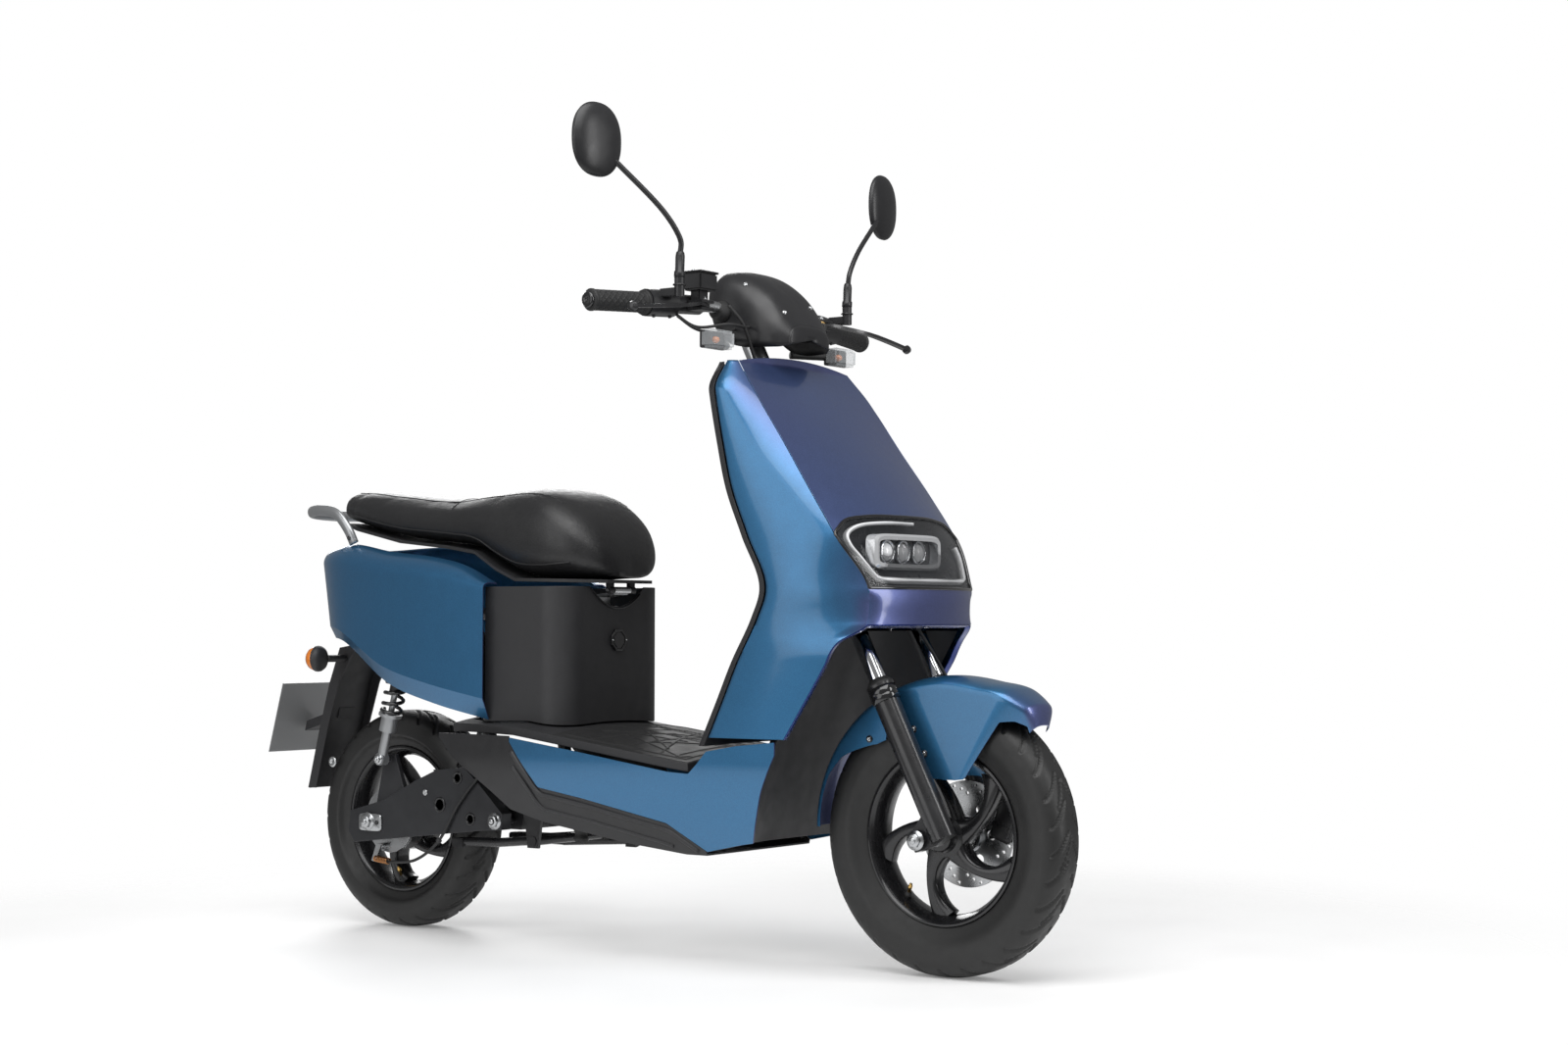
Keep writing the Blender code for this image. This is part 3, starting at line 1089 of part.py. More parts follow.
def build_small_parts(rubber, steel):
    """Brake hose, rear brake cable and the ignition key."""
    hose("front_brake_hose", FRONT_HOSE, 0.0030, rubber, HEAD_POINT)
    hose("rear_brake_cable", REAR_CABLE, 0.0028, rubber, ARM_PIVOT)
    z = 0.930
    y = 0.075
    x = inner_shield_x(y / curve(z, REAR_Y), z) - 0.0160
    barrel = rod((x - 0.0010, y, z), (x - 0.0090, y, z), 0.0120, 16)
    bow = block((x - 0.020, y, z), (0.024, 0.004, 0.020), 0.001)
    node("ignition_key", union(barrel, bow), steel, (x - 0.005, y, z))


def main():
    """Clears the scene and builds every piece."""
    for obj in list(bpy.data.objects):
        bpy.data.objects.remove(obj)
    blue = material("blue_paint", (0.035, 0.130, 0.260), 0.28, 0.55)
    black = material("satin_black_plastic", (0.020, 0.020, 0.022), 0.45)
    matt = material("matt_black_plastic", (0.028, 0.028, 0.030), 0.70)
    dark = material("dark_grey_metal", (0.040, 0.042, 0.046), 0.50, 0.6)
    leather = material("black_leather", (0.012, 0.012, 0.013), 0.42)
    rubber = material("black_rubber", (0.016, 0.016, 0.016), 0.80)
    steel = material("bright_steel", (0.60, 0.61, 0.62), 0.30, 1.0)
    silver = material("silver_paint", (0.42, 0.43, 0.44), 0.38, 0.8)
    glass = material("clear_lens", (0.65, 0.68, 0.70), 0.08)
    red = material("red_lens", (0.45, 0.010, 0.012), 0.15)
    amber = material("amber_lens", (0.80, 0.22, 0.010), 0.20)
    grey = material("plate_grey", (0.16, 0.165, 0.17), 0.45, 0.4)
    build_fork(steel, black, rubber, blue)
    build_bar(black, black, rubber, glass, silver)
    build_shield(blue, black, glass)
    build_floor(blue, black, matt)
    build_seat(leather, black, steel)
    build_tower(matt, dark)
    build_rear_body(blue, silver, red, amber, black, grey)
    build_frame(black)
    build_rear_running_gear(dark, black, rubber, silver, steel)
    build_stands(dark)
    build_small_parts(rubber, steel)


main()
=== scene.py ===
# %% [markdown]
# # The looks of an electric moped scooter
# The engineering model is loaded first as a fixed frame: every tube, hinge and wheel is already in its
# true place. This notebook lays the visible skin around it: lacquered panels, tyres with a tread,
# a padded seat, chrome fork tubes, coil springs, screws. Each new piece rides on the frame's own bodies,
# so the bars still steer and the seat still opens.

# %% Load the frame
import json
import math

import bmesh
import bpy
import numpy as np
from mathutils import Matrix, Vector
from mathutils.bvhtree import BVHTree

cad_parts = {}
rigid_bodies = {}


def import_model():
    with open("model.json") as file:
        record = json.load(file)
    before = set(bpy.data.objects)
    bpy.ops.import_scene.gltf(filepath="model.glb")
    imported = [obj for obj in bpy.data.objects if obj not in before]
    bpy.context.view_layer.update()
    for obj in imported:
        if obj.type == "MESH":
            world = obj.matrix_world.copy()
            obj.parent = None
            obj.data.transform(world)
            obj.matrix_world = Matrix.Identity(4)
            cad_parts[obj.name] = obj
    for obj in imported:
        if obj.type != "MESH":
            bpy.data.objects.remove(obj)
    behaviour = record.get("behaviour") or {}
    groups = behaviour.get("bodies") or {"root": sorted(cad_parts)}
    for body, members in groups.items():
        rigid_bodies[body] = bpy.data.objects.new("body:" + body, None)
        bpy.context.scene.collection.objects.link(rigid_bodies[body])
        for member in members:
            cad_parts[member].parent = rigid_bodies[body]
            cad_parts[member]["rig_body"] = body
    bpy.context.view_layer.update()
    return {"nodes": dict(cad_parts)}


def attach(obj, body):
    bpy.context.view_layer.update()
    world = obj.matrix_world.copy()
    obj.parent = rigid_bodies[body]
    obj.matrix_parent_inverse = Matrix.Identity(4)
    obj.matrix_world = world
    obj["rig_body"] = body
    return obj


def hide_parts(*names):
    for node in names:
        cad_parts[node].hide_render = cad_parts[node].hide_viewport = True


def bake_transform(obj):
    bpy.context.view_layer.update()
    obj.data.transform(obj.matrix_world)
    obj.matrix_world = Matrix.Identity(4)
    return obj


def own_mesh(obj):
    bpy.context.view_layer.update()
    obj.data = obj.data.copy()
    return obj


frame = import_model()
NODES = frame["nodes"]

# %% [markdown]
# ## Sizes shared by many pieces
# The tables below are written with X measured forward from the rear axle, which is how a scooter is
# drawn on paper. SHIFT moves a finished point into the frame, whose origin is under the middle.

# %% Sizes
SHIFT = -0.5855
SIDE_WORD = {-1: "right", 1: "left"}
SIDES = tuple(SIDE_WORD.items())
RAKE = math.radians(26.9)
HEAD_POINT = np.array([1.110, 0.0, 0.534])
UP_AXIS = np.array([-math.sin(RAKE), 0.0, math.cos(RAKE)])
FORWARD_AXIS = np.array([math.cos(RAKE), 0.0, math.sin(RAKE)])
FORK_LEAD = 0.030
FORK_HALF = 0.088
FRONT_AXLE = np.array([1.252, 0.0, 0.233])
REAR_AXLE = np.array([0.0, 0.0, 0.2095])
BAR_IN = np.array([0.832, 0.130, 1.139])
BAR_OUT = np.array([0.793, 0.386, 1.125])


def fork_point(along, lead, side):
    """HEAD_POINT plus a length along the steering axis, one ahead of it and one to the left."""
    return HEAD_POINT + UP_AXIS * along + FORWARD_AXIS * lead + np.array([0.0, side, 0.0])


def bar_point(side):
    """The straight line from BAR_IN to BAR_OUT, read at a distance beside the middle plane."""
    share = (abs(side) - BAR_IN[1]) / (BAR_OUT[1] - BAR_IN[1])
    point = BAR_IN + (BAR_OUT - BAR_IN) * share
    point[1] = math.copysign(point[1], side)
    return point


# %% [markdown]
# ## Camera, floor and light
# A studio shot: a pale sweep of floor, one broad soft light over the front, a long strip beside the
# flank to draw the highlight along the panels, and a weak fill from behind. The camera stands low, at
# wheel height, ahead of the right-hand side.

# %% Camera
camera = bpy.data.objects.new("camera", bpy.data.cameras.new("camera"))
bpy.context.scene.collection.objects.link(camera)
YAW = math.radians(124.69)
PITCH = math.radians(2.31)
camera.location = (2.9575, -3.531, 0.587)
aim = Vector((math.cos(YAW) * math.cos(PITCH), math.sin(YAW) * math.cos(PITCH), math.sin(PITCH)))
camera.rotation_mode = "QUATERNION"
camera.rotation_quaternion = aim.to_track_quat("-Z", "Y")
camera.data.sensor_width = 36.0
camera.data.lens = 57.6
camera.data.shift_x = -0.0586
camera.data.clip_end = 60.0
bpy.context.scene.camera = camera


def area_light(name, place, target, size, power, colour=(1.0, 1.0, 1.0)):
    """A rectangular light at a place, facing a target."""
    data = bpy.data.lights.new(name, "AREA")
    data.shape = "RECTANGLE"
    data.size, data.size_y = size
    data.energy = power
    data.color = colour
    lamp = bpy.data.objects.new(name, data)
    bpy.context.scene.collection.objects.link(lamp)
    lamp.location = place
    lamp.rotation_mode = "QUATERNION"
    lamp.rotation_quaternion = (Vector(target) - Vector(place)).to_track_quat("-Z", "Y")
    return lamp


area_light("key_over_front", (1.2, -1.4, 3.4), (0.1, 0.0, 0.5), (3.4, 3.0), 120)
area_light("strip_beside_flank", (-0.6, -3.6, 1.5), (0.0, 0.0, 0.6), (2.4, 3.0), 36)
area_light("strip_ahead", (3.4, 0.6, 1.5), (0.4, 0.0, 0.6), (0.7, 2.4), 36)
area_light("fill_behind", (-2.8, 2.4, 2.2), (0.0, 0.0, 0.6), (2.0, 2.0), 55)

# %% Floor and sky
WHITE = (1.0, 1.0, 1.0, 1.0)
FLOOR_REACH = 6.0


def fill(node, **values):
    """Sets a shader node's inputs; an underscore in a name stands for a space."""
    for name, value in values.items():
        node.inputs[name.replace("_", " ")].default_value = value


def link(source, out, target, into):
    """Joins an output of one node to an input of another node of the same tree."""
    source.id_data.links.new(source.outputs[out], target.inputs[into])


world = bpy.data.worlds.new("studio")
world.use_nodes = True
sky = world.node_tree.nodes
fill(sky["Background"], Color=WHITE, Strength=0.24)
paper = sky.new("ShaderNodeBackground")
fill(paper, Color=WHITE, Strength=1.0)
seen = sky.new("ShaderNodeLightPath")
either = sky.new("ShaderNodeMixShader")
link(seen, "Is Camera Ray", either, "Fac")
link(sky["Background"], "Background", either, 1)
link(paper, "Background", either, 2)
link(either, "Shader", sky["World Output"], "Surface")
bpy.context.scene.world = world
floor_mesh = bpy.data.meshes.new("floor")
floor_mesh.from_pydata([(x * FLOOR_REACH, y * FLOOR_REACH, 0) for x,
                        y in ((-1, -1), (1, -1), (1, 1), (-1, 1))],
                       [], [(0, 1, 2, 3)])
floor = bpy.data.objects.new("floor", floor_mesh)
bpy.context.scene.collection.objects.link(floor)
bpy.context.scene.view_settings.view_transform = "Standard"
print("camera, lights and floor are set")

# %% [markdown]
# ## Finishes
# Every finish is a small node tree on Object coordinates, so it never slides when a part moves. The
# recipe is shared: a broad noise shifts the colour a little, a middle noise shifts the roughness, and a
# fine noise lifts the surface, as moulding grain, casting skin or lacquer orange-peel do.

# %% Finish builder
FINISHES = {}


def finish(name, light, dark, rough, metallic=0.0, coat=0.0, mottle=6.0, grain=400.0, lift=0.05,
           rough_swing=0.06, depth=0.0004):
    """Principled shader; colour = dark to light by broad noise, roughness = rough +- swing by a second
    noise, normal = bump of a fine noise times lift."""
    made = bpy.data.materials.new(name)
    made.use_nodes = True
    nodes = made.node_tree.nodes
    shader = nodes["Principled BSDF"]
    fill(shader, Metallic=metallic, Coat_Weight=coat, Coat_Roughness=0.04)
    place = nodes.new("ShaderNodeTexCoord")
    broad, middle, fine = (nodes.new("ShaderNodeTexNoise") for _ in range(3))
    for texture, scale, detail in ((broad, mottle, 4.0), (middle, mottle * 7.0, 5.0), (fine, grain, 3.0)):
        fill(texture, Scale=scale, Detail=detail)
        link(place, "Object", texture, "Vector")
    blend = nodes.new("ShaderNodeMix")
    blend.data_type = "RGBA"
    fill(blend, A=(*dark, 1.0), B=(*light, 1.0))
    swing = nodes.new("ShaderNodeMapRange")
    fill(swing, From_Min=0.3, From_Max=0.7, To_Min=max(0.01, rough - rough_swing), To_Max=rough + rough_swing)
    bump = nodes.new("ShaderNodeBump")
    fill(bump, Strength=lift, Distance=depth)
    link(broad, "Fac", blend, "Factor")
    link(blend, "Result", shader, "Base Color")
    link(middle, "Fac", swing, "Value")
    link(swing, "Result", shader, "Roughness")
    link(fine, "Fac", bump, "Height")
    link(bump, "Normal", shader, "Normal")
    FINISHES[name] = made
    return made


# %% Plain finishes
satin = finish("satin_black_moulding", (0.020, 0.020, 0.022), (0.010, 0.010, 0.011), 0.36, grain=900.0,
               lift=0.10)
matt = finish("matt_black_moulding", (0.030, 0.030, 0.032), (0.018, 0.018, 0.020), 0.52, grain=1100.0,
              lift=0.25)
gloss = finish("gloss_black", (0.012, 0.012, 0.013), (0.007, 0.007, 0.008), 0.14, coat=0.6, lift=0.02)
black_metal = finish("black_painted_metal", (0.024, 0.024, 0.026), (0.012, 0.012, 0.013), 0.30,
                     metallic=0.2, coat=0.3, grain=700.0, lift=0.12)
cast_black = finish("black_cast_aluminium", (0.022, 0.022, 0.024), (0.010, 0.010, 0.011), 0.26,
                    metallic=0.35, coat=0.4, grain=600.0, lift=0.10)
dark_metal = finish("dark_grey_metal", (0.055, 0.056, 0.060), (0.030, 0.031, 0.034), 0.34,
                    metallic=0.5, grain=650.0, lift=0.20)
chrome = finish("polished_chrome", (0.80, 0.81, 0.83), (0.66, 0.67, 0.69), 0.10, metallic=1.0,
                lift=0.02, rough_swing=0.04)
steel = finish("machined_steel", (0.62, 0.63, 0.64), (0.40, 0.41, 0.42), 0.28, metallic=1.0,
               grain=800.0, lift=0.10)
silver = finish("silver_painted_alloy", (0.42, 0.43, 0.44), (0.33, 0.34, 0.35), 0.34, metallic=0.7,
                grain=1200.0, lift=0.12)
brass = finish("brass", (0.72, 0.47, 0.16), (0.50, 0.31, 0.09), 0.28, metallic=1.0, lift=0.10)
copper = finish("copper_plated_spring", (0.66, 0.32, 0.14), (0.40, 0.18, 0.07), 0.34, metallic=1.0,
                lift=0.15)
rubber = finish("soft_rubber", (0.019, 0.019, 0.020), (0.011, 0.011, 0.011), 0.60, grain=700.0,
                lift=0.25)
tyre_rubber = finish("tyre_rubber", (0.016, 0.016, 0.016), (0.009, 0.009, 0.009), 0.50, mottle=9.0,
                     grain=500.0, lift=0.30)
amber = finish("amber_lens", (0.86, 0.25, 0.012), (0.60, 0.13, 0.006), 0.16, coat=0.8, lift=0.05)
red = finish("red_lens", (0.42, 0.008, 0.010), (0.24, 0.004, 0.006), 0.14, coat=0.8, lift=0.05)
plate_grey = finish("blank_plate", (0.300, 0.305, 0.310), (0.240, 0.245, 0.250), 0.40, metallic=0.2,
                    grain=500.0, lift=0.10)
white_light = finish("white_light_guide", (0.86, 0.87, 0.88), (0.74, 0.75, 0.77), 0.22, coat=0.5)
lamp_grey = finish("lamp_housing", (0.115, 0.118, 0.125), (0.060, 0.062, 0.068), 0.30, metallic=0.4,
                   lift=0.10)
mirror_face = finish("mirror_silvering", (0.88, 0.89, 0.90), (0.84, 0.85, 0.86), 0.03, metallic=1.0,
                     lift=0.0, rough_swing=0.01)
pale_floor = finish("pale_floor", (0.86, 0.86, 0.86), (0.83, 0.83, 0.83), 0.55, mottle=0.6, grain=30.0,
                    lift=0.0)
floor.data.materials.append(pale_floor)
paper_nodes = pale_floor.node_tree.nodes
paper_shader = paper_nodes["Principled BSDF"]
fill(paper_shader, Emission_Color=WHITE, Emission_Strength=0.16)
radius = paper_nodes.new("ShaderNodeVectorMath")
radius.operation = "LENGTH"
fade = paper_nodes.new("ShaderNodeMapRange")
fade.interpolation_type = "SMOOTHSTEP"
fill(fade, From_Min=0.9, From_Max=2.0, To_Min=1.0, To_Max=0.0)
link(paper_nodes["Texture Coordinate"], "Object", radius, 0)
link(radius, "Value", fade, "Value")
link(fade, "Result", paper_shader, "Alpha")
print(len(FINISHES), "plain finishes")

# %% [markdown]
# ### Metallic blue lacquer
# Metallic paint is flakes in a tinted coat under clear lacquer. The flakes are a very fine cell pattern
# that varies the colour and tips the surface by a hair; the lacquer is the shader's coat. The colour turns
# from teal on the flanks to indigo on faces that look ahead, a painted reflection driven by the surface's
# own direction, taken in the piece's own coordinates.

# %% Blue lacquer


def lacquer(name, side_colour, painted_reflection_colour, rough=0.30):
    """Colour = side colour to the painted reflection colour by how far a face looks ahead, times a flake
    sparkle.
    """
    made = finish(name, side_colour, side_colour, rough, metallic=0.72, coat=1.0, grain=60.0,
                  lift=0.012, rough_swing=0.03)
    nodes = made.node_tree.nodes
    shader = nodes["Principled BSDF"]
    fill(shader, Coat_Weight=0.7, Coat_Roughness=0.10)
    place = nodes["Texture Coordinate"]
    # Painted reflection: faces whose own direction looks ahead turn indigo, however the light falls.
    split = nodes.new("ShaderNodeSeparateXYZ")
    ahead = nodes.new("ShaderNodeMapRange")
    ahead.interpolation_type = "SMOOTHSTEP"
    fill(ahead, From_Min=0.25, From_Max=0.95)
    turn = nodes.new("ShaderNodeMix")
    turn.data_type = "RGBA"
    fill(turn, A=(*side_colour, 1.0), B=(*painted_reflection_colour, 1.0))
    flakes = nodes.new("ShaderNodeTexVoronoi")
    fill(flakes, Scale=1600.0)
    sparkle = nodes.new("ShaderNodeMapRange")
    fill(sparkle, To_Min=0.80, To_Max=1.25)
    tint = nodes.new("ShaderNodeVectorMath")
    tint.operation = "SCALE"
    link(place, "Normal", split, "Vector")
    link(split, "X", ahead, "Value")
    link(ahead, "Result", turn, "Factor")
    link(place, "Object", flakes, "Vector")
    link(flakes, "Color", sparkle, "Value")
    link(turn, "Result", tint, 0)
    link(sparkle, "Result", tint, "Scale")
    link(tint, "Vector", shader, "Base Color")
    return made


blue = lacquer("blue_lacquer", (0.030, 0.150, 0.310), (0.080, 0.100, 0.250), 0.36)
# A darker copy of the blue lacquer for the turned-in flanges and the nose lip: painted shade.
painted_shade_lacquer = lacquer("blue_lacquer_painted_shade", (0.010, 0.040, 0.220), (0.010, 0.028, 0.190), 0.26)
print("blue lacquer made")

# %% Clear lens


def clear_lens(name, haze, tint):
    """Mostly see-through, with a gloss that rises at grazing angles: a thin moulded lens."""
    made = bpy.data.materials.new(name)
    made.use_nodes = True
    nodes = made.node_tree.nodes
    shader = nodes["Principled BSDF"]
    fill(shader, Base_Color=(*tint, 1.0), Roughness=0.03, Coat_Weight=1.0, Coat_Roughness=0.02)
    edge = nodes.new("ShaderNodeLayerWeight")
    fill(edge, Blend=0.35)
    amount = nodes.new("ShaderNodeMapRange")
    fill(amount, To_Min=haze, To_Max=0.55)
    link(edge, "Fresnel", amount, "Value")
    link(amount, "Result", shader, "Alpha")
    FINISHES[name] = made
    return made


clear = clear_lens("clear_headlight_cover", 0.015, (0.02, 0.022, 0.025))
milky = clear_lens("clear_indicator_cover", 0.30, (0.75, 0.78, 0.80))
screen = finish("dark_display_glass", (0.010, 0.012, 0.016), (0.006, 0.007, 0.010), 0.08, coat=1.0,
                lift=0.0)
print("lenses made")

# %% [markdown]
# ## Mesh helpers
# Most new pieces are grids: a formula gives the place of point (i, j), numpy works out the whole array
# at once, and one call turns the grid into faces. The other basic move is a profile carried along a
# path. Both stay here so each later cell only has to say its own formula.

# %% Mesh helpers


def full_turn(count):
    """Evenly spaced angles once round; the last stops one step short of the first."""
    return np.linspace(0, 2 * np.pi, count, endpoint=False)


def unit(vectors):
    """Each vector divided by its own length."""
    return vectors / np.linalg.norm(vectors, axis=-1, keepdims=True)


def squared(turn, power):
    """Cosine and sine of a turn, each to a power with its sign kept: below one, a circle becomes a
    rounded square."""
    c, s = np.cos(turn), np.sin(turn)
    return np.sign(c) * np.abs(c) ** power, np.sign(s) * np.abs(s) ** power


def smooth(x, stations):
    """Cubic through (place, value) stations: each span is a Hermite curve whose end slopes are the
    slopes between the neighbouring stations, held flat where the values turn."""
    table = np.array(sorted(stations), float)
    xs, ys = table[:, 0], table[:, 1]
    x = np.clip(np.asarray(x, float), xs[0], xs[-1])
    step = np.diff(xs)
    rise = np.diff(ys) / step
    slope = np.zeros(len(xs))
    slope[1:-1] = np.where(rise[:-1] * rise[1:] > 0, (rise[:-1] + rise[1:]) / 2, 0.0)
    slope[0], slope[-1] = rise[0], rise[-1]
    span = np.clip(np.searchsorted(xs, x) - 1, 0, len(step) - 1)
    h = step[span]
    t = (x - xs[span]) / h
    return ((2 * t ** 3 - 3 * t ** 2 + 1) * ys[span] + (t ** 3 - 2 * t ** 2 + t) * h * slope[span]
            + (3 * t ** 2 - 2 * t ** 3) * ys[span + 1] + (t ** 3 - t ** 2) * h * slope[span + 1])


def path_curve(points, count):
    """Evenly spaced points on a Catmull-Rom curve: each span mixes its four neighbours by cubic weights,
    and the result is read again at equal lengths."""
    pts = np.asarray(points, float)
    pts = np.vstack([2 * pts[0] - pts[1], pts, 2 * pts[-1] - pts[-2]])
    t = np.linspace(0, 1, 24, endpoint=False)[:, None]
    spans = [0.5 * (2 * b + (c - a) * t + (2 * a - 5 * b + 4 * c - d) * t ** 2
                    + (3 * b - a - 3 * c + d) * t ** 3)
             for a, b, c, d in zip(pts[:-3], pts[1:-2], pts[2:-1], pts[3:])]
    dense = np.vstack(spans + [pts[-2:-1]])
    run = np.concatenate([[0], np.cumsum(np.linalg.norm(np.diff(dense, axis=0), axis=1))])
    want = np.linspace(0, run[-1], count)
    return np.stack([np.interp(want, run, dense[:, k]) for k in range(3)], axis=1)


def add_mesh(name, verts, faces):
    """One object at the origin from arrays of corners and faces, given in drawing coordinates."""
    moved = np.array(verts, float)
    moved[:, 0] += SHIFT
    mesh = bpy.data.meshes.new(name)
    mesh.from_pydata(moved.tolist(), [], [tuple(f) for f in faces])
    mesh.update()
    obj = bpy.data.objects.new(name, mesh)
    bpy.context.scene.collection.objects.link(obj)
    mesh.shade_smooth()
    return obj


def grid_faces(rows, cols, wrap_rows=False, wrap_cols=False, start=0):
    """Four corners for every cell of a rows by cols grid; a wrap joins the last line to the first."""
    i, j = np.meshgrid(np.arange(rows if wrap_rows else rows - 1),
                       np.arange(cols if wrap_cols else cols - 1), indexing="ij")
    i, j = i.ravel(), j.ravel()
    n, m = (i + 1) % rows, (j + 1) % cols
    return np.stack([i * cols + j, n * cols + j, n * cols + m, i * cols + m], axis=1) + start


def tube_faces(rows, cols):
    """The cells of a grid that wraps round itself, with one face closing each end."""
    faces = [list(f) for f in grid_faces(rows, cols, wrap_cols=True)]
    return faces + [list(range(cols)), list(range((rows - 1) * cols, rows * cols))]


def creased(obj, degrees):
    """Keeps edges sharper than an angle sharp in shading."""
    obj.data.set_sharp_from_angle(angle=math.radians(degrees))
    return obj


def outward(obj):
    """Turns a closed piece's faces to look out."""
    bm = bmesh.new()
    bm.from_mesh(obj.data)
    bmesh.ops.remove_doubles(bm, verts=bm.verts, dist=1e-6)
    bmesh.ops.recalc_face_normals(bm, faces=bm.faces)
    bm.to_mesh(obj.data)
    bm.free()
    obj.data.shade_smooth()
    return obj


def crisp(obj, width, segments=2, angle=32):
    """Rounds the hard edges and keeps the broad faces flat in shading."""
    bevel = obj.modifiers.new("edge", "BEVEL")
    bevel.width = width
    bevel.segments = segments
    bevel.limit_method = "ANGLE"
    bevel.angle_limit = math.radians(angle)
    bevel.harden_normals = True
    return obj


COVERED = set()


def dress(obj, body, look, stands_for=()):
    """Gives a piece its finish, its body and the CAD nodes it stands for."""
    obj.data.materials.clear()
    obj.data.materials.append(look)
    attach(obj, body)
    if stands_for:
        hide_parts(*stands_for)
        COVERED.update(stands_for)
    return obj


def wall(grid_outer, depth_inner, name):
    """A closed wall: the outer grid, the inner grid, and strips round the four borders."""
    outer = np.asarray(grid_outer, float)
    inner = np.asarray(depth_inner, float)
    rows, cols = outer.shape[:2]
    half = rows * cols
    body = grid_faces(rows, cols)
    ring = np.concatenate([np.arange(cols), np.arange(1, rows) * cols + cols - 1,
                           (rows - 1) * cols + np.arange(cols - 2, -1, -1),
                           np.arange(rows - 2, 0, -1) * cols])
    nxt = np.roll(ring, -1)
    rim = np.stack([ring, nxt, nxt + half, ring + half], axis=1)
    verts = np.concatenate([outer.reshape(-1, 3), inner.reshape(-1, 3)])
    faces = np.concatenate([body, body[:, ::-1] + half, rim])
    return outward(add_mesh(name, verts, faces))


def tube(name, points, radius, sides=12, count=60, taper=None, section=None):
    """A round or given section carried along a smooth path, with a frame turned as little as possible
    from point to point, and closed ends."""
    line = path_curve(points, count)
    ahead = unit(np.gradient(line, axis=0))
    side = np.cross(ahead[0], [0.0, 0.0, 1.0] if abs(ahead[0][2]) < 0.9 else [1.0, 0.0, 0.0])
    across = []
    for tangent in ahead:
        side = unit(side - tangent * (side @ tangent))
        across.append(side)
    across = np.array(across)
    lift = np.cross(across, ahead)
    turn = full_turn(sides)
    shape = np.stack([np.cos(turn), np.sin(turn)], axis=1) * radius if section is None else section
    size = np.ones(count) if taper is None else taper
    grid = (line[:, None] + across[:, None] * (shape[None, :, 0] * size[:, None])[..., None]
            + lift[:, None] * (shape[None, :, 1] * size[:, None])[..., None])
    return outward(add_mesh(name, grid.reshape(-1, 3), tube_faces(count, len(shape))))


def turned(name, profile, centre, axis, segments=48, phase=0.0):
    """(radius, height) points spun about an axis: point = centre + axis * height + radius * (cos, sin)
    in the plane across the axis. A zero radius at an end closes it."""
    prof = np.array(profile, float)
    axis = unit(np.asarray(axis, float))
    first = unit(np.cross(axis, [0.0, 0.0, 1.0] if abs(axis[2]) < 0.9 else [1.0, 0.0, 0.0]))
    second = np.cross(axis, first)
    turn = full_turn(segments) + phase
    ring = np.cos(turn)[:, None] * first + np.sin(turn)[:, None] * second
    grid = (np.asarray(centre, float) + prof[:, None, 1:2] * axis
            + prof[:, None, 0:1] * ring[None])
    open_ended = prof[0, 0] > 1e-9 and prof[-1, 0] > 1e-9 and not np.allclose(prof[0], prof[-1])
    faces = tube_faces(len(prof), segments) if open_ended else grid_faces(len(prof), segments, wrap_cols=True)
    return outward(add_mesh(name, grid.reshape(-1, 3), faces))


def gather(name, objs):
    """Joins loose pieces into one object."""
    verts, faces = [], []
    for obj in objs:
        start = len(verts)
        verts += [tuple(v.co) for v in obj.data.vertices]
        faces += [tuple(start + k for k in p.vertices) for p in obj.data.polygons]
        bpy.data.objects.remove(obj)
    mesh = bpy.data.meshes.new(name)
    mesh.from_pydata(verts, [], faces)
    mesh.shade_smooth()
    made = bpy.data.objects.new(name, mesh)
    bpy.context.scene.collection.objects.link(made)
    return made


def welded(obj, reach):
    """Merges the points that lie within a reach of each other."""
    bm = bmesh.new()
    bm.from_mesh(obj.data)
    bmesh.ops.remove_doubles(bm, verts=bm.verts, dist=reach)
    bm.to_mesh(obj.data)
    bm.free()
    obj.data.shade_smooth()
    return obj


def softened(node, name, width, look, segments=2, angle=32):
    """A merged copy of a CAD node whose coplanar triangles are joined and whose edges are rounded."""
    mesh = NODES[node].data.copy()
    bm = bmesh.new()
    bm.from_mesh(mesh)
    bmesh.ops.remove_doubles(bm, verts=bm.verts, dist=1e-5)
    bmesh.ops.dissolve_limit(bm, angle_limit=math.radians(1.5), verts=bm.verts, edges=bm.edges)
    bm.to_mesh(mesh)
    bm.free()
    mesh.name = name
    obj = bpy.data.objects.new(name, mesh)
    bpy.context.scene.collection.objects.link(obj)
    if mesh.attributes.get("custom_normal"):
        mesh.attributes.remove(mesh.attributes["custom_normal"])
    mesh.shade_smooth()
    mesh.set_sharp_from_angle(angle=math.radians(angle))
    if width > 0:
        crisp(obj, width, segments, angle)
    return dress(obj, NODES[node]["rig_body"], look, (node,))


print("helpers ready")

# %% [markdown]
# ## Tyres
# A scooter tyre is a ring with a flat patch where it stands, a rounded shoulder and a plain sidewall.
# The tread is real geometry: slanted grooves are pressed a few millimetres into the crown, mirrored
# about the middle so they point the way the wheel rolls.

# %% Tyre surface
TREAD_DEPTH = 0.0042
SIDEWALL_RIB = 0.0006


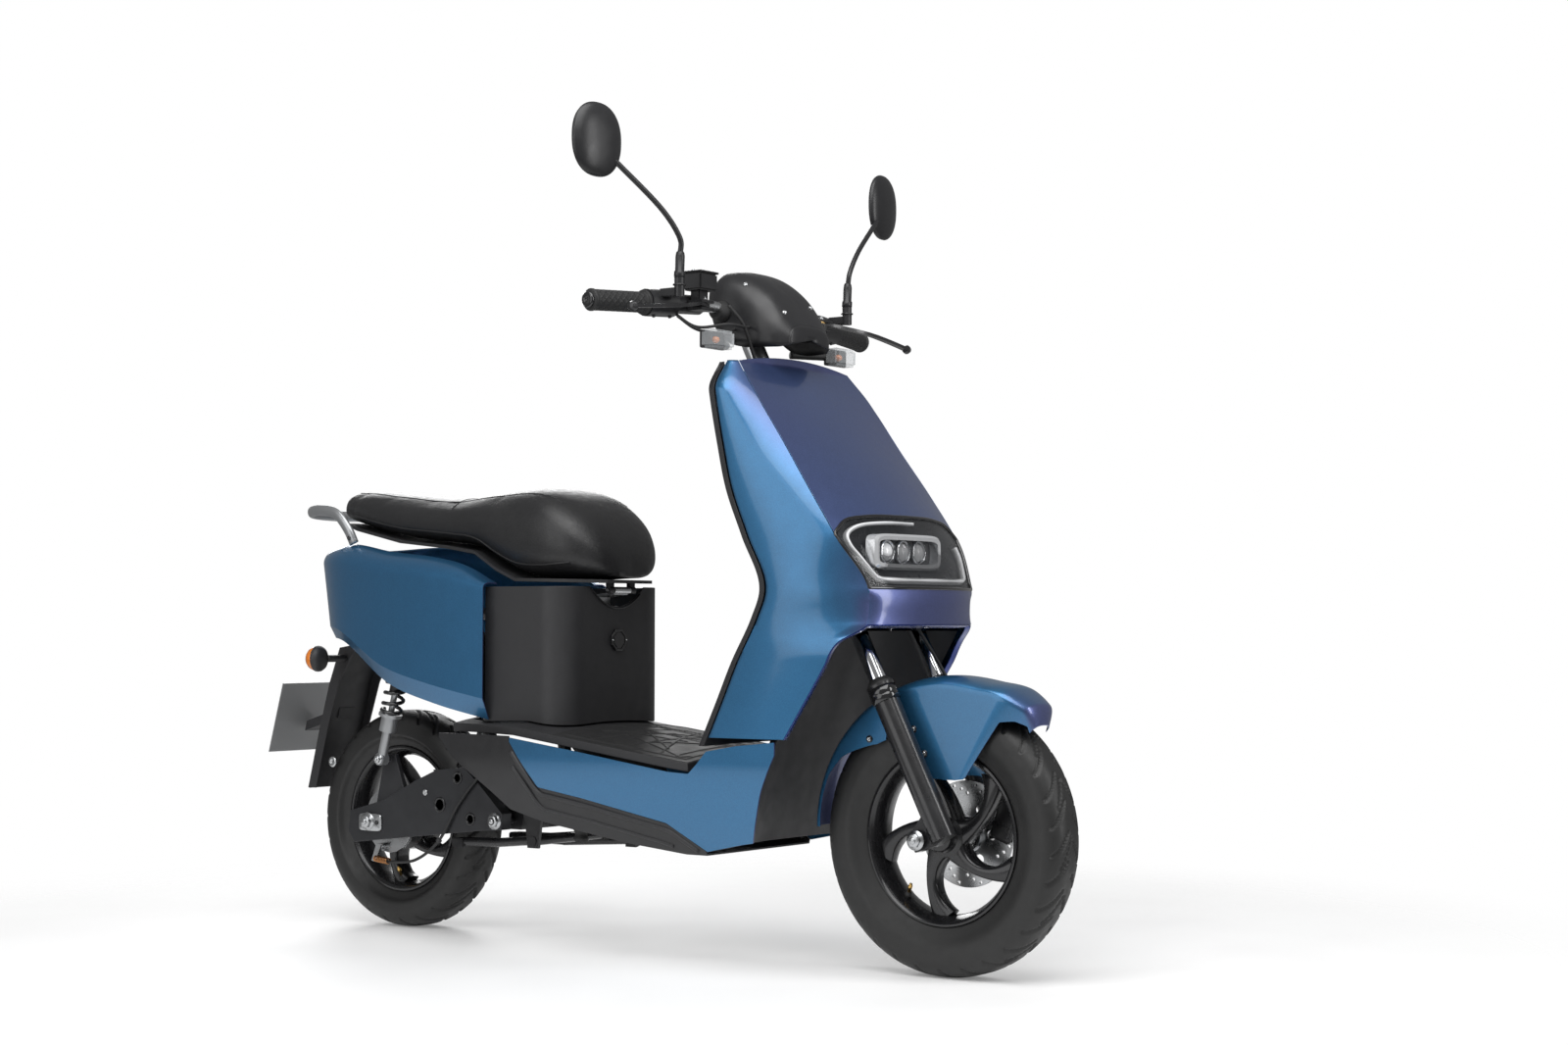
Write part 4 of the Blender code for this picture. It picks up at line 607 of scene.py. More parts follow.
def tyre(name, node, body, centre, outside, width, rim, slant, pitches):
    """Grid over the turn angle and the section angle. Radius = section radius minus groove depth, and a
    groove is where a wave, whose phase runs slanted across the crown, is near its trough."""
    turns, across = 960, 64
    half = width / 2
    section = np.array([(rim - 0.004, -0.030), (rim + 0.010, -half + 0.009), (outside - 0.046, -half),
                        (outside - 0.026, -half + 0.0005), (outside - 0.013, -half + 0.006),
                        (outside - 0.004, -0.028), (outside - 0.0004, -0.016), (outside, 0.0)])
    section = np.vstack([section, section[-2::-1] * [1, -1]])
    run = np.concatenate([[0], np.cumsum(np.linalg.norm(np.diff(section, axis=0), axis=1))])
    want = np.linspace(0, run[-1], across)
    line = np.stack([smooth(want, list(zip(run, section[:, k]))) for k in range(2)], axis=1)
    turn = full_turn(turns)
    radius = np.repeat(line[None, :, 0], turns, axis=0)
    side = np.repeat(line[None, :, 1], turns, axis=0)
    off = np.abs(side) / half
    phase = turn[:, None] * pitches / (2 * np.pi) + slant * off ** 0.8 + 0.25 * np.sign(side)
    wave = np.abs((phase % 1.0) - 0.5) * 2
    groove = np.clip((0.20 - wave) / 0.10, 0, 1) * ((off > 0.16) & (off < 0.90))
    long_phase = turn[:, None] * pitches / (2 * np.pi) * 0.5 + slant * 0.7 * off + 0.4
    long_wave = np.abs((long_phase % 1.0) - 0.5) * 2
    long_cut = np.clip((0.11 - long_wave) / 0.06, 0, 1) * (off < 0.60)
    crown = np.clip((radius - (outside - 0.024)) / 0.010, 0, 1)
    depth = TREAD_DEPTH * np.maximum(groove, long_cut * 0.8) * crown
    rib = SIDEWALL_RIB * (np.abs(radius - (outside - 0.052)) < 0.0016)
    radius = radius - depth
    side = side + np.sign(side) * rib
    grid = np.stack([centre[0] + radius * np.cos(turn)[:, None], centre[1] + side,
                     centre[2] + radius * np.sin(turn)[:, None]], axis=2)
    grid[..., 2] = np.maximum(grid[..., 2], 0.0)
    faces = grid_faces(turns, across, wrap_rows=True, wrap_cols=True)
    return dress(outward(add_mesh(name, grid.reshape(-1, 3), faces)), body, tyre_rubber, (node,))


front_tyre = tyre("front_tyre_tread", "front_tyre", "front_wheel", FRONT_AXLE, 0.2332, 0.090, 0.152,
                  1.35, 30)
rear_tyre = tyre("rear_tyre_tread", "rear_tyre", "rear_wheel", REAR_AXLE, 0.2097, 0.094, 0.144,
                 1.35, 27)
print("tyres:", len(front_tyre.data.polygons), "and", len(rear_tyre.data.polygons), "faces")

# %% [markdown]
# ## Cast wheels
# Each wheel is one casting: a barrel with a lip, a hub, and five blades that sweep forward as they
# leave the hub. A blade is a rounded bar whose width and height change along a curved line.

# %% Cast wheel


def blade(name, centre, inner, outer, start, swirl, width, height):
    """Points at angle start + swirl * share^1.3 and radius inner..outer; the section is a rounded
    rectangle, wide at both ends and slim in the middle."""
    steps, sides = 26, 20
    share = np.linspace(0, 1, steps)
    radius = inner + (outer - inner) * share
    angle = start + swirl * share ** 1.3
    line = np.stack([radius * np.cos(angle), radius * np.sin(angle)], axis=1)
    ahead = unit(np.gradient(line, axis=0))
    across = np.stack([-ahead[:, 1], ahead[:, 0]], axis=1)
    half_wide = width * (0.62 + 0.75 * (2 * share - 1) ** 2)
    half_high = height * (1.0 - 0.30 * share)
    c, s = squared(full_turn(sides), 0.55)
    grid = np.zeros((steps, sides, 3))
    grid[..., 0] = centre[0] + line[:, None, 0] + across[:, None, 0] * half_wide[:, None] * c
    grid[..., 2] = centre[2] + line[:, None, 1] + across[:, None, 1] * half_wide[:, None] * c
    grid[..., 1] = centre[1] + half_high[:, None] * s
    return outward(add_mesh(name, grid.reshape(-1, 3), tube_faces(steps, sides)))


def cast_wheel(name, node, body, centre, seat, hub_r, hub_half, blade_half, swirl, lead):
    """Barrel, hub and blades gathered in one object."""
    barrel = turned("barrel", [(seat, -0.0325), (seat, 0.0325), (seat - 0.0035, 0.0335),
                               (seat - 0.007, 0.031),
                               (seat - 0.0095, 0.026), (seat - 0.016, 0.014), (seat - 0.018, 0.0),
                               (seat - 0.016, -0.014), (seat - 0.0095, -0.026), (seat - 0.007, -0.031),
                               (seat - 0.0035, -0.0335), (seat, -0.0325)], centre, (0, 1, 0), 120)
    hub = turned("hub", [(0.0095, -hub_half), (hub_r * 0.62, -hub_half), (hub_r * 0.70, -hub_half + 0.003),
                         (hub_r * 0.78, -blade_half - 0.004), (hub_r, -blade_half), (hub_r * 1.02, 0.0),
                         (hub_r, blade_half), (hub_r * 0.78, blade_half + 0.004),
                         (hub_r * 0.70, hub_half - 0.003), (hub_r * 0.62, hub_half), (0.0095, hub_half)],
                 centre, (0, 1, 0), 64)
    blades = [blade("blade", centre, hub_r * 0.80, seat - 0.010, lead + 2 * math.pi * k / 5, swirl, 0.0165,
                    blade_half) for k in range(5)]
    return dress(creased(gather(name, [barrel, hub] + blades), 50), body, cast_black, (node,))


cast_wheel("front_wheel_casting", "front_rim", "front_wheel", FRONT_AXLE, 0.1476, 0.034, 0.042,
                         0.019, 0.60, 0.3)
cast_wheel("rear_wheel_casting", "rear_rim", "rear_wheel", REAR_AXLE, 0.1396, 0.060, 0.052,
                        0.024, 0.55, 0.3)


# %% Valves and pinstripe lip
def valve(name, body, centre, radius, angle, side):
    """A brass stem turned about the wheel's radius, bent out to one side, with a rubber foot."""
    base = np.array([centre[0] + radius * math.cos(angle), side * 0.010,
                     centre[2] + radius * math.sin(angle)])
    inward = np.array([-math.cos(angle), 0.0, -math.sin(angle)])
    lean = inward * 0.86 + np.array([0.0, side * 0.5, 0.0])
    foot = turned(name + "_foot", [(0, 0), (0.0075, 0), (0.0060, 0.006), (0.0042, 0.012), (0, 0.012)], base,
                  lean, 20)
    dress(foot, body, rubber)
    stem = turned(name, [(0, 0.011), (0.0030, 0.011), (0.0030, 0.020), (0.0037, 0.0205), (0.0037, 0.027),
                           (0.0028, 0.028), (0.0028, 0.032), (0, 0.0325)], base, lean, 16)
    dress(stem, body, brass)


valve("front_valve", "front_wheel", FRONT_AXLE, 0.131, math.radians(232), -1)
valve("rear_valve", "rear_wheel", REAR_AXLE, 0.123, math.radians(262), -1)
print("wheels cast")

# %% [markdown]
# ## Brake disc and caliper
# The disc is a thin steel ring on a carrier, drilled with rows of holes that sweep outward. The holes
# are cut by one Boolean so the ring stays a true solid.

# %% Brake disc
disc = turned("brake_disc_drilled", [(0.0900, 0.0501), (0.0896, 0.0498), (0.0640, 0.0498), (0.0600, 0.0502),
                                     (0.0300, 0.0502), (0.0300, 0.0425), (0.0240, 0.0425), (0.0240, 0.0538),
                                     (0.0600, 0.0538), (0.0640, 0.0542), (0.0896, 0.0542), (0.0900, 0.0539),
                                     (0.0900, 0.0501)], FRONT_AXLE, (0, 1, 0), 96)
drills = []
for row in range(12):
    for step in range(3):
        angle = 2 * math.pi * row / 12 + 0.16 * step
        reach = 0.0690 + 0.0075 * step
        spot = FRONT_AXLE + np.array([reach * math.cos(angle), 0.045, reach * math.sin(angle)])
        drills.append(turned("drill", [(0, 0), (0.0030, 0), (0.0030, 0.014), (0, 0.014)], spot, (0, 1, 0),
                             14))
for row in range(6):
    angle = 2 * math.pi * row / 6
    spot = FRONT_AXLE + np.array([0.0480 * math.cos(angle), 0.045, 0.0480 * math.sin(angle)])
    drills.append(turned("drill", [(0, 0), (0.0085, 0), (0.0085, 0.014), (0, 0.014)], spot, (0, 1, 0), 20))
drill_set = gather("drills", drills)
cutter = disc.modifiers.new("holes", "BOOLEAN")
cutter.operation = "DIFFERENCE"
cutter.solver = "EXACT"
cutter.object = drill_set
baked = bpy.data.meshes.new_from_object(disc.evaluated_get(bpy.context.evaluated_depsgraph_get()))
disc.modifiers.clear()
disc.data = baked
disc.data.shade_smooth()
creased(disc, 35)
bpy.data.objects.remove(drill_set)
dress(disc, "front_wheel", steel, ("brake_disc",))
softened("brake_caliper", "brake_caliper_body", 0.0025, black_metal, 3)
print("disc drilled:", len(disc.data.polygons), "faces")

# %% [markdown]
# ## Screws and nuts
# Small fasteners give a machine its scale. A cap screw is a turned head with a hexagonal socket; a nut is a
# six-sided collar with rounded corners on a washer. All the fasteners of one body are gathered together.

# %% Fasteners
LOOSE = {}


def screw(body, place, axis, radius=0.0052, look="steel"):
    """A domed head with a recessed socket, turned about its axis."""
    head = turned("screw", [(0, -0.001), (radius, -0.001), (radius, 0.0012), (radius * 0.90, 0.0022),
                            (radius * 0.62, 0.0028), (radius * 0.46, 0.0028), (radius * 0.42, 0.0012),
                            (0, 0.0012)],
                  place, axis, 24)
    LOOSE.setdefault((body, look), []).append(head)


def nut(body, place, axis, radius=0.0085, height=0.006, look="steel"):
    """Washer, six-sided nut and a stub of thread."""
    washer = turned("washer", [(0, -0.001), (radius * 1.45, -0.001), (radius * 1.45, 0.0012), (0, 0.0012)],
                    place, axis, 32)
    collar = turned("nut", [(0, 0.0010), (radius * 0.96, 0.0010), (radius * 1.06, 0.0018),
                            (radius * 1.06, height - 0.0012), (radius * 0.92, height), (0, height)], place,
                            axis, 6)
    collar.data.shade_flat()
    stub = turned("stub", [(0, height - 0.001), (radius * 0.50, height - 0.001),
                           (radius * 0.50, height + 0.0020),
                           (radius * 0.38, height + 0.0032), (0, height + 0.0032)], place, axis, 20)
    LOOSE.setdefault((body, look), []).extend([washer, collar, stub])


# %% [markdown]
# ## Fork
# Chrome tubes slide in black lower legs. Each leg has a rubber dust seal and a machined collar at its
# mouth, and the axle is held by a plain steel nut.

# %% Fork pieces
softened("fork_yoke", "fork_yoke_finish", 0.0015, chrome)
softened("fork_lower", "fork_legs", 0.0022, black_metal, 3)
for side, word in SIDES:
    foot = fork_point(-0.190, FORK_LEAD, side * FORK_HALF)
    top = fork_point(0.083, FORK_LEAD, side * FORK_HALF)
    reach = float(np.linalg.norm(top - foot))
    tube_skin = turned(f"fork_tube_{word}", [(0, 0), (0.01515, 0), (0.01515, reach), (0, reach)], foot,
                       UP_AXIS, 48)
    dress(creased(tube_skin, 40), "steering", chrome)
    mouth = fork_point(-0.0722, FORK_LEAD, side * FORK_HALF)
    seal = turned(f"fork_seal_{word}", [(0.0157, -0.004), (0.0225, -0.004), (0.0232, -0.001), (0.0232, 0.004),
                                        (0.0205, 0.006),
                                        (0.0178, 0.0095), (0.0160, 0.0120), (0.0157, -0.004)], mouth, UP_AXIS,
                                        48)
    dress(seal, "fork_slider", rubber)
    ring = turned(f"fork_collar_{word}", [(0.0222, -0.030), (0.0243, -0.029), (0.0243, -0.020),
                                          (0.0236, -0.018), (0.0243, -0.016),
                                          (0.0243, -0.004), (0.0222, -0.003), (0.0222, -0.030)], mouth,
                                          UP_AXIS, 48)
    dress(ring, "fork_slider", gloss)
    nut("fork_slider", FRONT_AXLE + np.array([0, side * 0.1078, 0]), (0, side, 0), 0.0115, 0.008)
print("fork dressed")

# %% [markdown]
# ## Front fender
# The fender is an arched crown that drops to a pointed panel beside each fork leg. Its section changes
# with the angle around the wheel, so it is a grid over that angle and over the girth of the section.

# %% Fender surface
FENDER_CROWN = [(46, 0.262), (52, 0.284), (60, 0.284), (72, 0.273), (90, 0.268), (110, 0.262), (135, 0.255),
                (178, 0.249)]
FENDER_HEM = [(46, 0.254), (52, 0.248), (56.5, 0.232), (58, 0.121), (59, 0.115), (65, 0.107), (75, 0.100),
              (90, 0.098),
              (96, 0.0985), (98, 0.103), (101, 0.1226), (105, 0.163), (108.6, 0.224), (111, 0.232),
              (113, 0.226), (117, 0.198),
              (120, 0.184), (126, 0.188), (134, 0.202), (145, 0.224), (155, 0.232), (178, 0.232)]
FENDER_HALF = [(46, 0.026), (52, 0.046), (62, 0.0590), (120, 0.0590), (178, 0.0560)]
FENDER_WALL = 0.0024
CROWN_SHARE = 0.62  # of the girth from the middle to the hem


def fender():
    """At each angle the section runs from the hem up the side to the shoulder and over the crown:
    a corner of superellipse shape, half + hem height fixed by the angle tables."""
    angle = np.unique(np.concatenate([np.linspace(46.2, 177.8, 260), np.linspace(55.8, 59.5, 26)]))
    top, half = smooth(angle, FENDER_CROWN), smooth(angle, FENDER_HALF)
    table = np.array(FENDER_HEM)
    low = np.interp(angle, table[:, 0], table[:, 1])
    low = np.minimum(low, top - 0.0185)
    girth = np.linspace(-1, 1, 61)
    wrap = np.abs(girth)
    shoulder = top - 0.017
    arc = np.clip(wrap / CROWN_SHARE, 0, 1) * np.pi / 2
    side = np.where(wrap < CROWN_SHARE, half[:, None] * np.sin(arc) ** 0.80, half[:, None])
    lift = shoulder[:, None] + (top - shoulder)[:, None] * np.cos(arc) ** 0.9
    drop = np.clip((wrap - CROWN_SHARE) / 0.38, 0, 1)
    radius = np.where(wrap < CROWN_SHARE, lift, shoulder[:, None] + (low - shoulder)[:, None] * drop)
    turn = np.radians(angle)[:, None]
    crown = wrap < CROWN_SHARE
    grids = []
    for r, y in ((radius, side), (np.where(crown, radius - FENDER_WALL * np.cos(arc), radius),
                                  side - FENDER_WALL * np.where(crown, np.sin(arc), 1.0))):
        grids.append(np.stack([FRONT_AXLE[0] + r * np.cos(turn), np.sign(girth) * y,
                               FRONT_AXLE[2] + r * np.sin(turn)], axis=2))
    return wall(*grids, "front_fender_skin")


dress(crisp(creased(fender(), 50), 0.0008, 2, 50), "fork_slider", blue, ("front_fender",))
for side in SIDE_WORD:
    for x, z in ((1.2162, 0.412), (1.2376, 0.3721), (1.127, 0.3934)):
        screw("fork_slider", np.array([x, side * 0.0592, z]), (0, side, 0), 0.0062, "black")
        screw("fork_slider", np.array([x, side * 0.0604, z]), (0, side, 0), 0.0040)
print("fender made")

# %% [markdown]
# ## Leg shield
# The painted shell wraps the legs: two sides that sweep from a rear edge to a front seam, and a nose under
# the headlight that joins them. Down its height the seam and the rear edge follow smooth curves; across its
# width each level is an arc between them. The nose and the sides are one surface, softened at the corner.

# %% Shield curves
SEAM_X = [(1.036, 0.924), (0.980, 0.968), (0.889, 1.034), (0.812, 1.090), (0.734, 1.144), (0.646, 1.192),
          (0.586, 1.194),
          (0.557, 1.154), (0.517, 1.129), (0.395, 1.047)]
SEAM_Y = [(1.036, 0.160), (0.980, 0.172), (0.889, 0.177), (0.812, 0.184), (0.734, 0.186), (0.646, 0.158),
          (0.586, 0.163),
          (0.557, 0.190), (0.517, 0.195), (0.395, 0.195)]
REAR_X = [(1.036, 0.908), (0.980, 0.915), (0.889, 0.933), (0.812, 0.952), (0.734, 0.985), (0.646, 1.022),
          (0.597, 1.004),
          (0.523, 0.960), (0.460, 0.928), (0.375, 0.884)]
REAR_Y = [(1.036, 0.170), (0.980, 0.210), (0.734, 0.210), (0.375, 0.200)]
BULGE = [(1.050, 0.000), (0.980, 0.008), (0.889, 0.020), (0.812, 0.030), (0.734, 0.040), (0.646, 0.035),
         (0.586, 0.030)]
LENS_LOW = 0.645
NOSE_LOW = 0.586
SHIELD_TOP = 1.036
SHIELD_LOW = 0.395
SHEET = 0.003
LIP_THICK = 0.0022


def straight(x, stations):
    """Straight lines through (place, value) stations."""
    table = np.array(sorted(stations), float)
    return np.interp(x, table[:, 0], table[:, 1])


def front_point(share, z):
    """The front face: half width by height, bulged ahead by 1 - share squared."""
    share, z = np.broadcast_arrays(np.asarray(share, float), np.asarray(z, float))
    return np.stack([smooth(z, SEAM_X) + smooth(z, BULGE) * (1 - share ** 2), share * smooth(z, SEAM_Y), z],
                    axis=-1)


def side_point(share, z, side):
    """A curve of second degree from the rear edge to the seam, its middle control pulled outward."""
    share, z = np.broadcast_arrays(np.asarray(share, float), np.asarray(z, float))
    xr, yr = smooth(z, REAR_X), smooth(z, REAR_Y)
    xs, ys = smooth(z, SEAM_X), smooth(z, SEAM_Y)
    xc, yc = xr + 0.6 * (xs - xr), yr + 0.004
    a, b, c = (1 - share) ** 2, 2 * share * (1 - share), share ** 2
    return np.stack([a * xr + b * xc + c * xs, side * (a * yr + b * yc + c * ys), z], axis=-1)


def inward(points, depth):
    """Moves points in by a depth, towards a line behind the middle of the shield."""
    reach = np.hypot(0.12, points[..., 1])
    moved = points.copy()
    moved[..., 0] -= depth * 0.12 / reach
    moved[..., 1] -= depth * points[..., 1] / reach
    return moved


def lens_top(share):
    """The headlight's upper edge: level over most of the width, dipping at the corners."""
    return smooth(np.abs(share), [(0.0, 0.768), (0.6, 0.765), (0.85, 0.756), (1.0, 0.736)])


def eased(points, away, side):
    """Rounds the corner under the lamp: a point near the seam moves inward by 6 mm times the square of its
    nearness, faded out above the lamp's edge and below the nose."""
    z = points[..., 2]
    up = np.clip((LENS_LOW - 0.0005 - z) / 0.026, 0, 1)
    down = np.clip((z - 0.556) / 0.026, 0, 1)
    amount = 0.006 * (3 * up ** 2 - 2 * up ** 3) * (3 * down ** 2 - 2 * down ** 3)
    amount = amount * np.clip(1 - away / 0.030, 0, 1) ** 2
    moved = points.copy()
    moved[..., 0] -= 0.70 * amount
    moved[..., 1] -= 0.71 * amount * side
    return moved


# %% Shield shell


def shield_side(side):
    """The side grid from the top to the hem; rows are closest together where the corner turns."""
    z = np.concatenate([np.linspace(SHIELD_TOP, 0.65, 110), np.linspace(0.6445, NOSE_LOW, 30),
                        np.linspace(0.583, 0.50, 34),
                        np.linspace(0.496, SHIELD_LOW, 24)])
    share = 1 - np.linspace(1, 0, 60) ** 1.5
    outer = side_point(share[None, :], z[:, None], side)
    length = np.linalg.norm(outer - outer[:, -1:], axis=2)
    outer = eased(outer, length, side)
    return wall(outer, inward(outer, SHEET), "shield_side")


def shield_nose():
    """Under the lamp, from seam to seam; the lip under its lower edge is a separate strip."""
    z = np.linspace(LENS_LOW - 0.0005, NOSE_LOW, 30)
    share = np.linspace(-1, 1, 160)
    outer = front_point(share[None, :], z[:, None])
    length = (1 - np.abs(share))[None, :] * smooth(z, SEAM_Y)[:, None]
    outer = eased(outer, length, np.sign(share)[None, :])
    return wall(outer, inward(outer, SHEET), "shield_nose")


shell = gather("apron_shell_skin", [shield_side(-1), shield_side(1), shield_nose()])
dress(creased(welded(shell, 0.00005), 62), "chassis", blue, ("apron_shell",))


def strip(name, edge, way, width, thick):
    """A narrow band hanging from an edge line: point = edge + way * t, given a thickness; it takes the darker
    copy of the blue lacquer, painted shade under the edge.
    """
    edge = np.asarray(edge, float)
    t = np.linspace(0, 1, 6)
    grid = edge[:, None] + way[:, None] * width * t[None, :, None]
    across = unit(np.cross(np.gradient(edge, axis=0), way))
    return dress(wall(grid, grid - across[:, None] * thick, name), "chassis", painted_shade_lacquer)


# %% Turned-in edges
hem_z = np.concatenate([np.linspace(NOSE_LOW + 0.001, 0.52, 30), np.linspace(0.516, SHIELD_LOW, 24)])
for side, word in SIDES:
    edge = inward(eased(side_point(np.ones_like(hem_z) * 0.997, hem_z, side), 0 * hem_z, side), 0.0012)
    way = unit(np.tile([-0.25, -side * 0.97, 0.0], (len(hem_z), 1)))
    strip(f"shield_flange_{word}", edge, way, 0.013, LIP_THICK * side)
lip_share = np.linspace(-0.998, 0.998, 70)
lip_edge = eased(front_point(lip_share, np.full(70, NOSE_LOW + 0.0002)),
                 (1 - np.abs(lip_share)) * smooth(NOSE_LOW, SEAM_Y),
                 np.sign(lip_share))
lip_edge = inward(lip_edge, 0.0012)
lip_way = unit(np.stack([-np.full(70, 0.93), -lip_share * 0.25, -np.full(70, 0.30)], axis=1))
strip("nose_lip", lip_edge, lip_way, 0.016, LIP_THICK)

# %% Front panel and black trim
rows = np.linspace(0, 1, 70)
share = np.linspace(-1, 1, 90)
low = lens_top(share) + 0.0015
high = SHIELD_TOP + 0.014 * (1 - share ** 2)
levels = high[None, :] + (low - high)[None, :] * rows[:, None]
panel_grid = front_point(np.tile(share * 0.9925, (70, 1)), levels)
panel = crisp(wall(panel_grid, inward(panel_grid, SHEET), "front_panel_skin"), 0.0009, 2, 50)
dress(panel, "chassis", blue, ("front_panel",))

z = np.linspace(1.034, 0.380, 120)
INNER_BULGE = [(1.036, 0.075), (0.980, 0.058), (0.889, 0.042), (0.812, 0.034), (0.734, 0.040), (0.646, 0.048),
               (0.597, 0.036), (0.523, 0.028), (0.385, 0.024)]
share = np.linspace(-1, 1, 70)
half = smooth(z, REAR_Y)[:, None] + 0.0005
face = np.stack([smooth(z, REAR_X)[:, None] - 0.0032 - smooth(z, INNER_BULGE)[:, None] * (1 - share ** 2),
                 half * share, np.broadcast_to(z[:, None], half.shape[:1] + share.shape)], axis=2)
back = face.copy()
back[..., 0] -= 0.0112
inner_panel = crisp(wall(back, face, "inner_shield_skin"), 0.0012, 3, 50)
dress(inner_panel, "chassis", satin, ("inner_shield",))
softened("wheel_liner", "wheel_liner_skin", 0.0008, matt)
print("leg shield made")

# %% [markdown]
# ## Headlight
# A clear cover sits flush in the shield. Behind it are a dark housing, a white light guide that runs round
# three sides, and a bright frame with three projector lenses. A black rubber seal outlines the cover.

# %% Headlight
bright_trim = finish("bright_lamp_trim", (0.78, 0.79, 0.81), (0.66, 0.67, 0.69), 0.22, metallic=0.55,
                     coat=0.5, lift=0.03)


def lens_point(share, level, depth):
    """The cover's surface at a share of the width and a level from its lower edge (0) to its upper (1)."""
    share, level = np.broadcast_arrays(np.asarray(share, float), np.asarray(level, float))
    z = LENS_LOW + 0.001 + (lens_top(share) - LENS_LOW - 0.001) * level
    return inward(front_point(share * 0.985, z), depth)


u = np.linspace(-1, 1, 80)
v = np.linspace(0, 1, 40)
cover = lens_point(u[None, :], v[:, None], 0.0008)
glass = wall(cover, inward(cover, 0.0024), "headlight_cover")
dress(glass, "chassis", clear, ("headlight_lens",))
bowl = lens_point(u[None, :] * 0.985, 0.02 + 0.96 * v[:, None], 0.0035)
sink = (1 - np.abs(u[None, :]) ** 8) * (1 - np.abs(2 * v[:, None] - 1) ** 6)
bowl = inward(bowl, 0.026 * sink)
housing = wall(bowl, inward(bowl, 0.0015), "headlight_housing")
dress(housing, "chassis", lamp_grey)
loop = np.concatenate([np.stack([u, np.zeros(80)], 1), np.stack([np.ones(40), v], 1),
                       np.stack([u[::-1], np.ones(80)], 1),
                       np.stack([-np.ones(40), v[::-1]], 1)])
seal_line = lens_point(loop[::4, 0], loop[::4, 1], 0.0008)
seal = tube("headlight_seal", np.vstack([seal_line, seal_line[:1]]), 0.0030, 10, 360)
dress(seal, "chassis", gloss)
GUIDE = np.array([(0.10, 0.90), (-0.35, 0.90), (-0.70, 0.885), (-0.885, 0.84), (-0.93, 0.70), (-0.915, 0.45),
                  (-0.89, 0.22),
                  (-0.84, 0.13), (-0.60, 0.10), (0.0, 0.095), (0.60, 0.10), (0.83, 0.13), (0.885, 0.24),
                  (0.90, 0.50),
                  (0.86, 0.66)])
guide_line = lens_point(GUIDE[:, 0], GUIDE[:, 1], 0.0075)
flat = np.array([(0.0038, 0.0020), (0.0024, 0.0026), (-0.0024, 0.0026), (-0.0038, 0.0020), (-0.0038, -0.0020),
                 (0.0038, -0.0020)])
guide = tube("headlight_light_guide", guide_line, 0, 6, 200, section=flat * 1.35)
dress(guide, "chassis", white_light)
LAMP_X, LAMP_Y, LAMP_Z = 1.196, -0.040, 0.7065
c, s = squared(full_turn(48), 0.28)
bezel_grid = np.array([np.stack([np.full(48, LAMP_X - back), c * wide + LAMP_Y, s * tall + LAMP_Z], axis=1)
                       for wide, tall, back in ((0.094, 0.026, 0.0), (0.098, 0.030, 0.004),
                                                (0.098, 0.030, 0.022),
                                                (0.088, 0.020, 0.020), (0.088, 0.020, 0.001))])
bezel = outward(add_mesh("projector_frame", bezel_grid.reshape(-1, 3),
                         grid_faces(5, 48, wrap_rows=True, wrap_cols=True)))
dress(creased(bezel, 30), "chassis", bright_trim)
plate_y, plate_z = np.linspace(-0.128, 0.048, 12)[None, :], np.linspace(0.687, 0.726, 6)[:, None]
plate_faces = [np.stack(np.broadcast_arrays(LAMP_X - back, plate_y, plate_z),
                        axis=2) for back in (0.019, 0.021)]
dress(wall(*plate_faces, "projector_plate"), "chassis", silver)
eyes, rings = [], []
for y in (-0.092, -0.045, 0.002):
    eyes.append(turned("eye", [(0, 0.0), (0.0165, 0.0), (0.0160, 0.005), (0.0130, 0.0095), (0.0080, 0.0125),
                               (0.0035, 0.0138), (0, 0.0141)],
                       (LAMP_X - 0.018, y, LAMP_Z), (1, 0, 0), 40))
    rings.append(turned("ring", [(0.0168, 0.0), (0.0200, 0.0), (0.0200, 0.008), (0.0185, 0.0105),
                                 (0.0168, 0.0088), (0.0168, 0.0)],
                        (LAMP_X - 0.018, y, LAMP_Z), (1, 0, 0), 40))
dress(gather("projector_lenses", eyes), "chassis", white_light)
dress(gather("projector_rings", rings), "chassis", chrome)
print("headlight made")

# %% [markdown]
# ## Floor
# The rider's feet stand on a rubber mat moulded with thin raised lines that cross at odd angles. The height
# of the mat is a formula: the deck's own crown, plus a ridge wherever a point lies near one of the lines,
# kept off a plain band round the edge.

# %% Deck and mat
DECK_Z = [(0.250, 0.404), (0.435, 0.402), (0.600, 0.380), (0.840, 0.349)]
DECK_W = [(0.250, 0.150), (0.320, 0.156), (0.435, 0.188), (0.600, 0.190), (0.800, 0.190), (0.842, 0.186)]
DECK_CROWN = 0.014
MAT_REAR, MAT_FRONT = 0.529, 0.8355
RIDGE_HIGH = 0.0013
softened("deck", "deck_board", 0.0016, matt, 3)


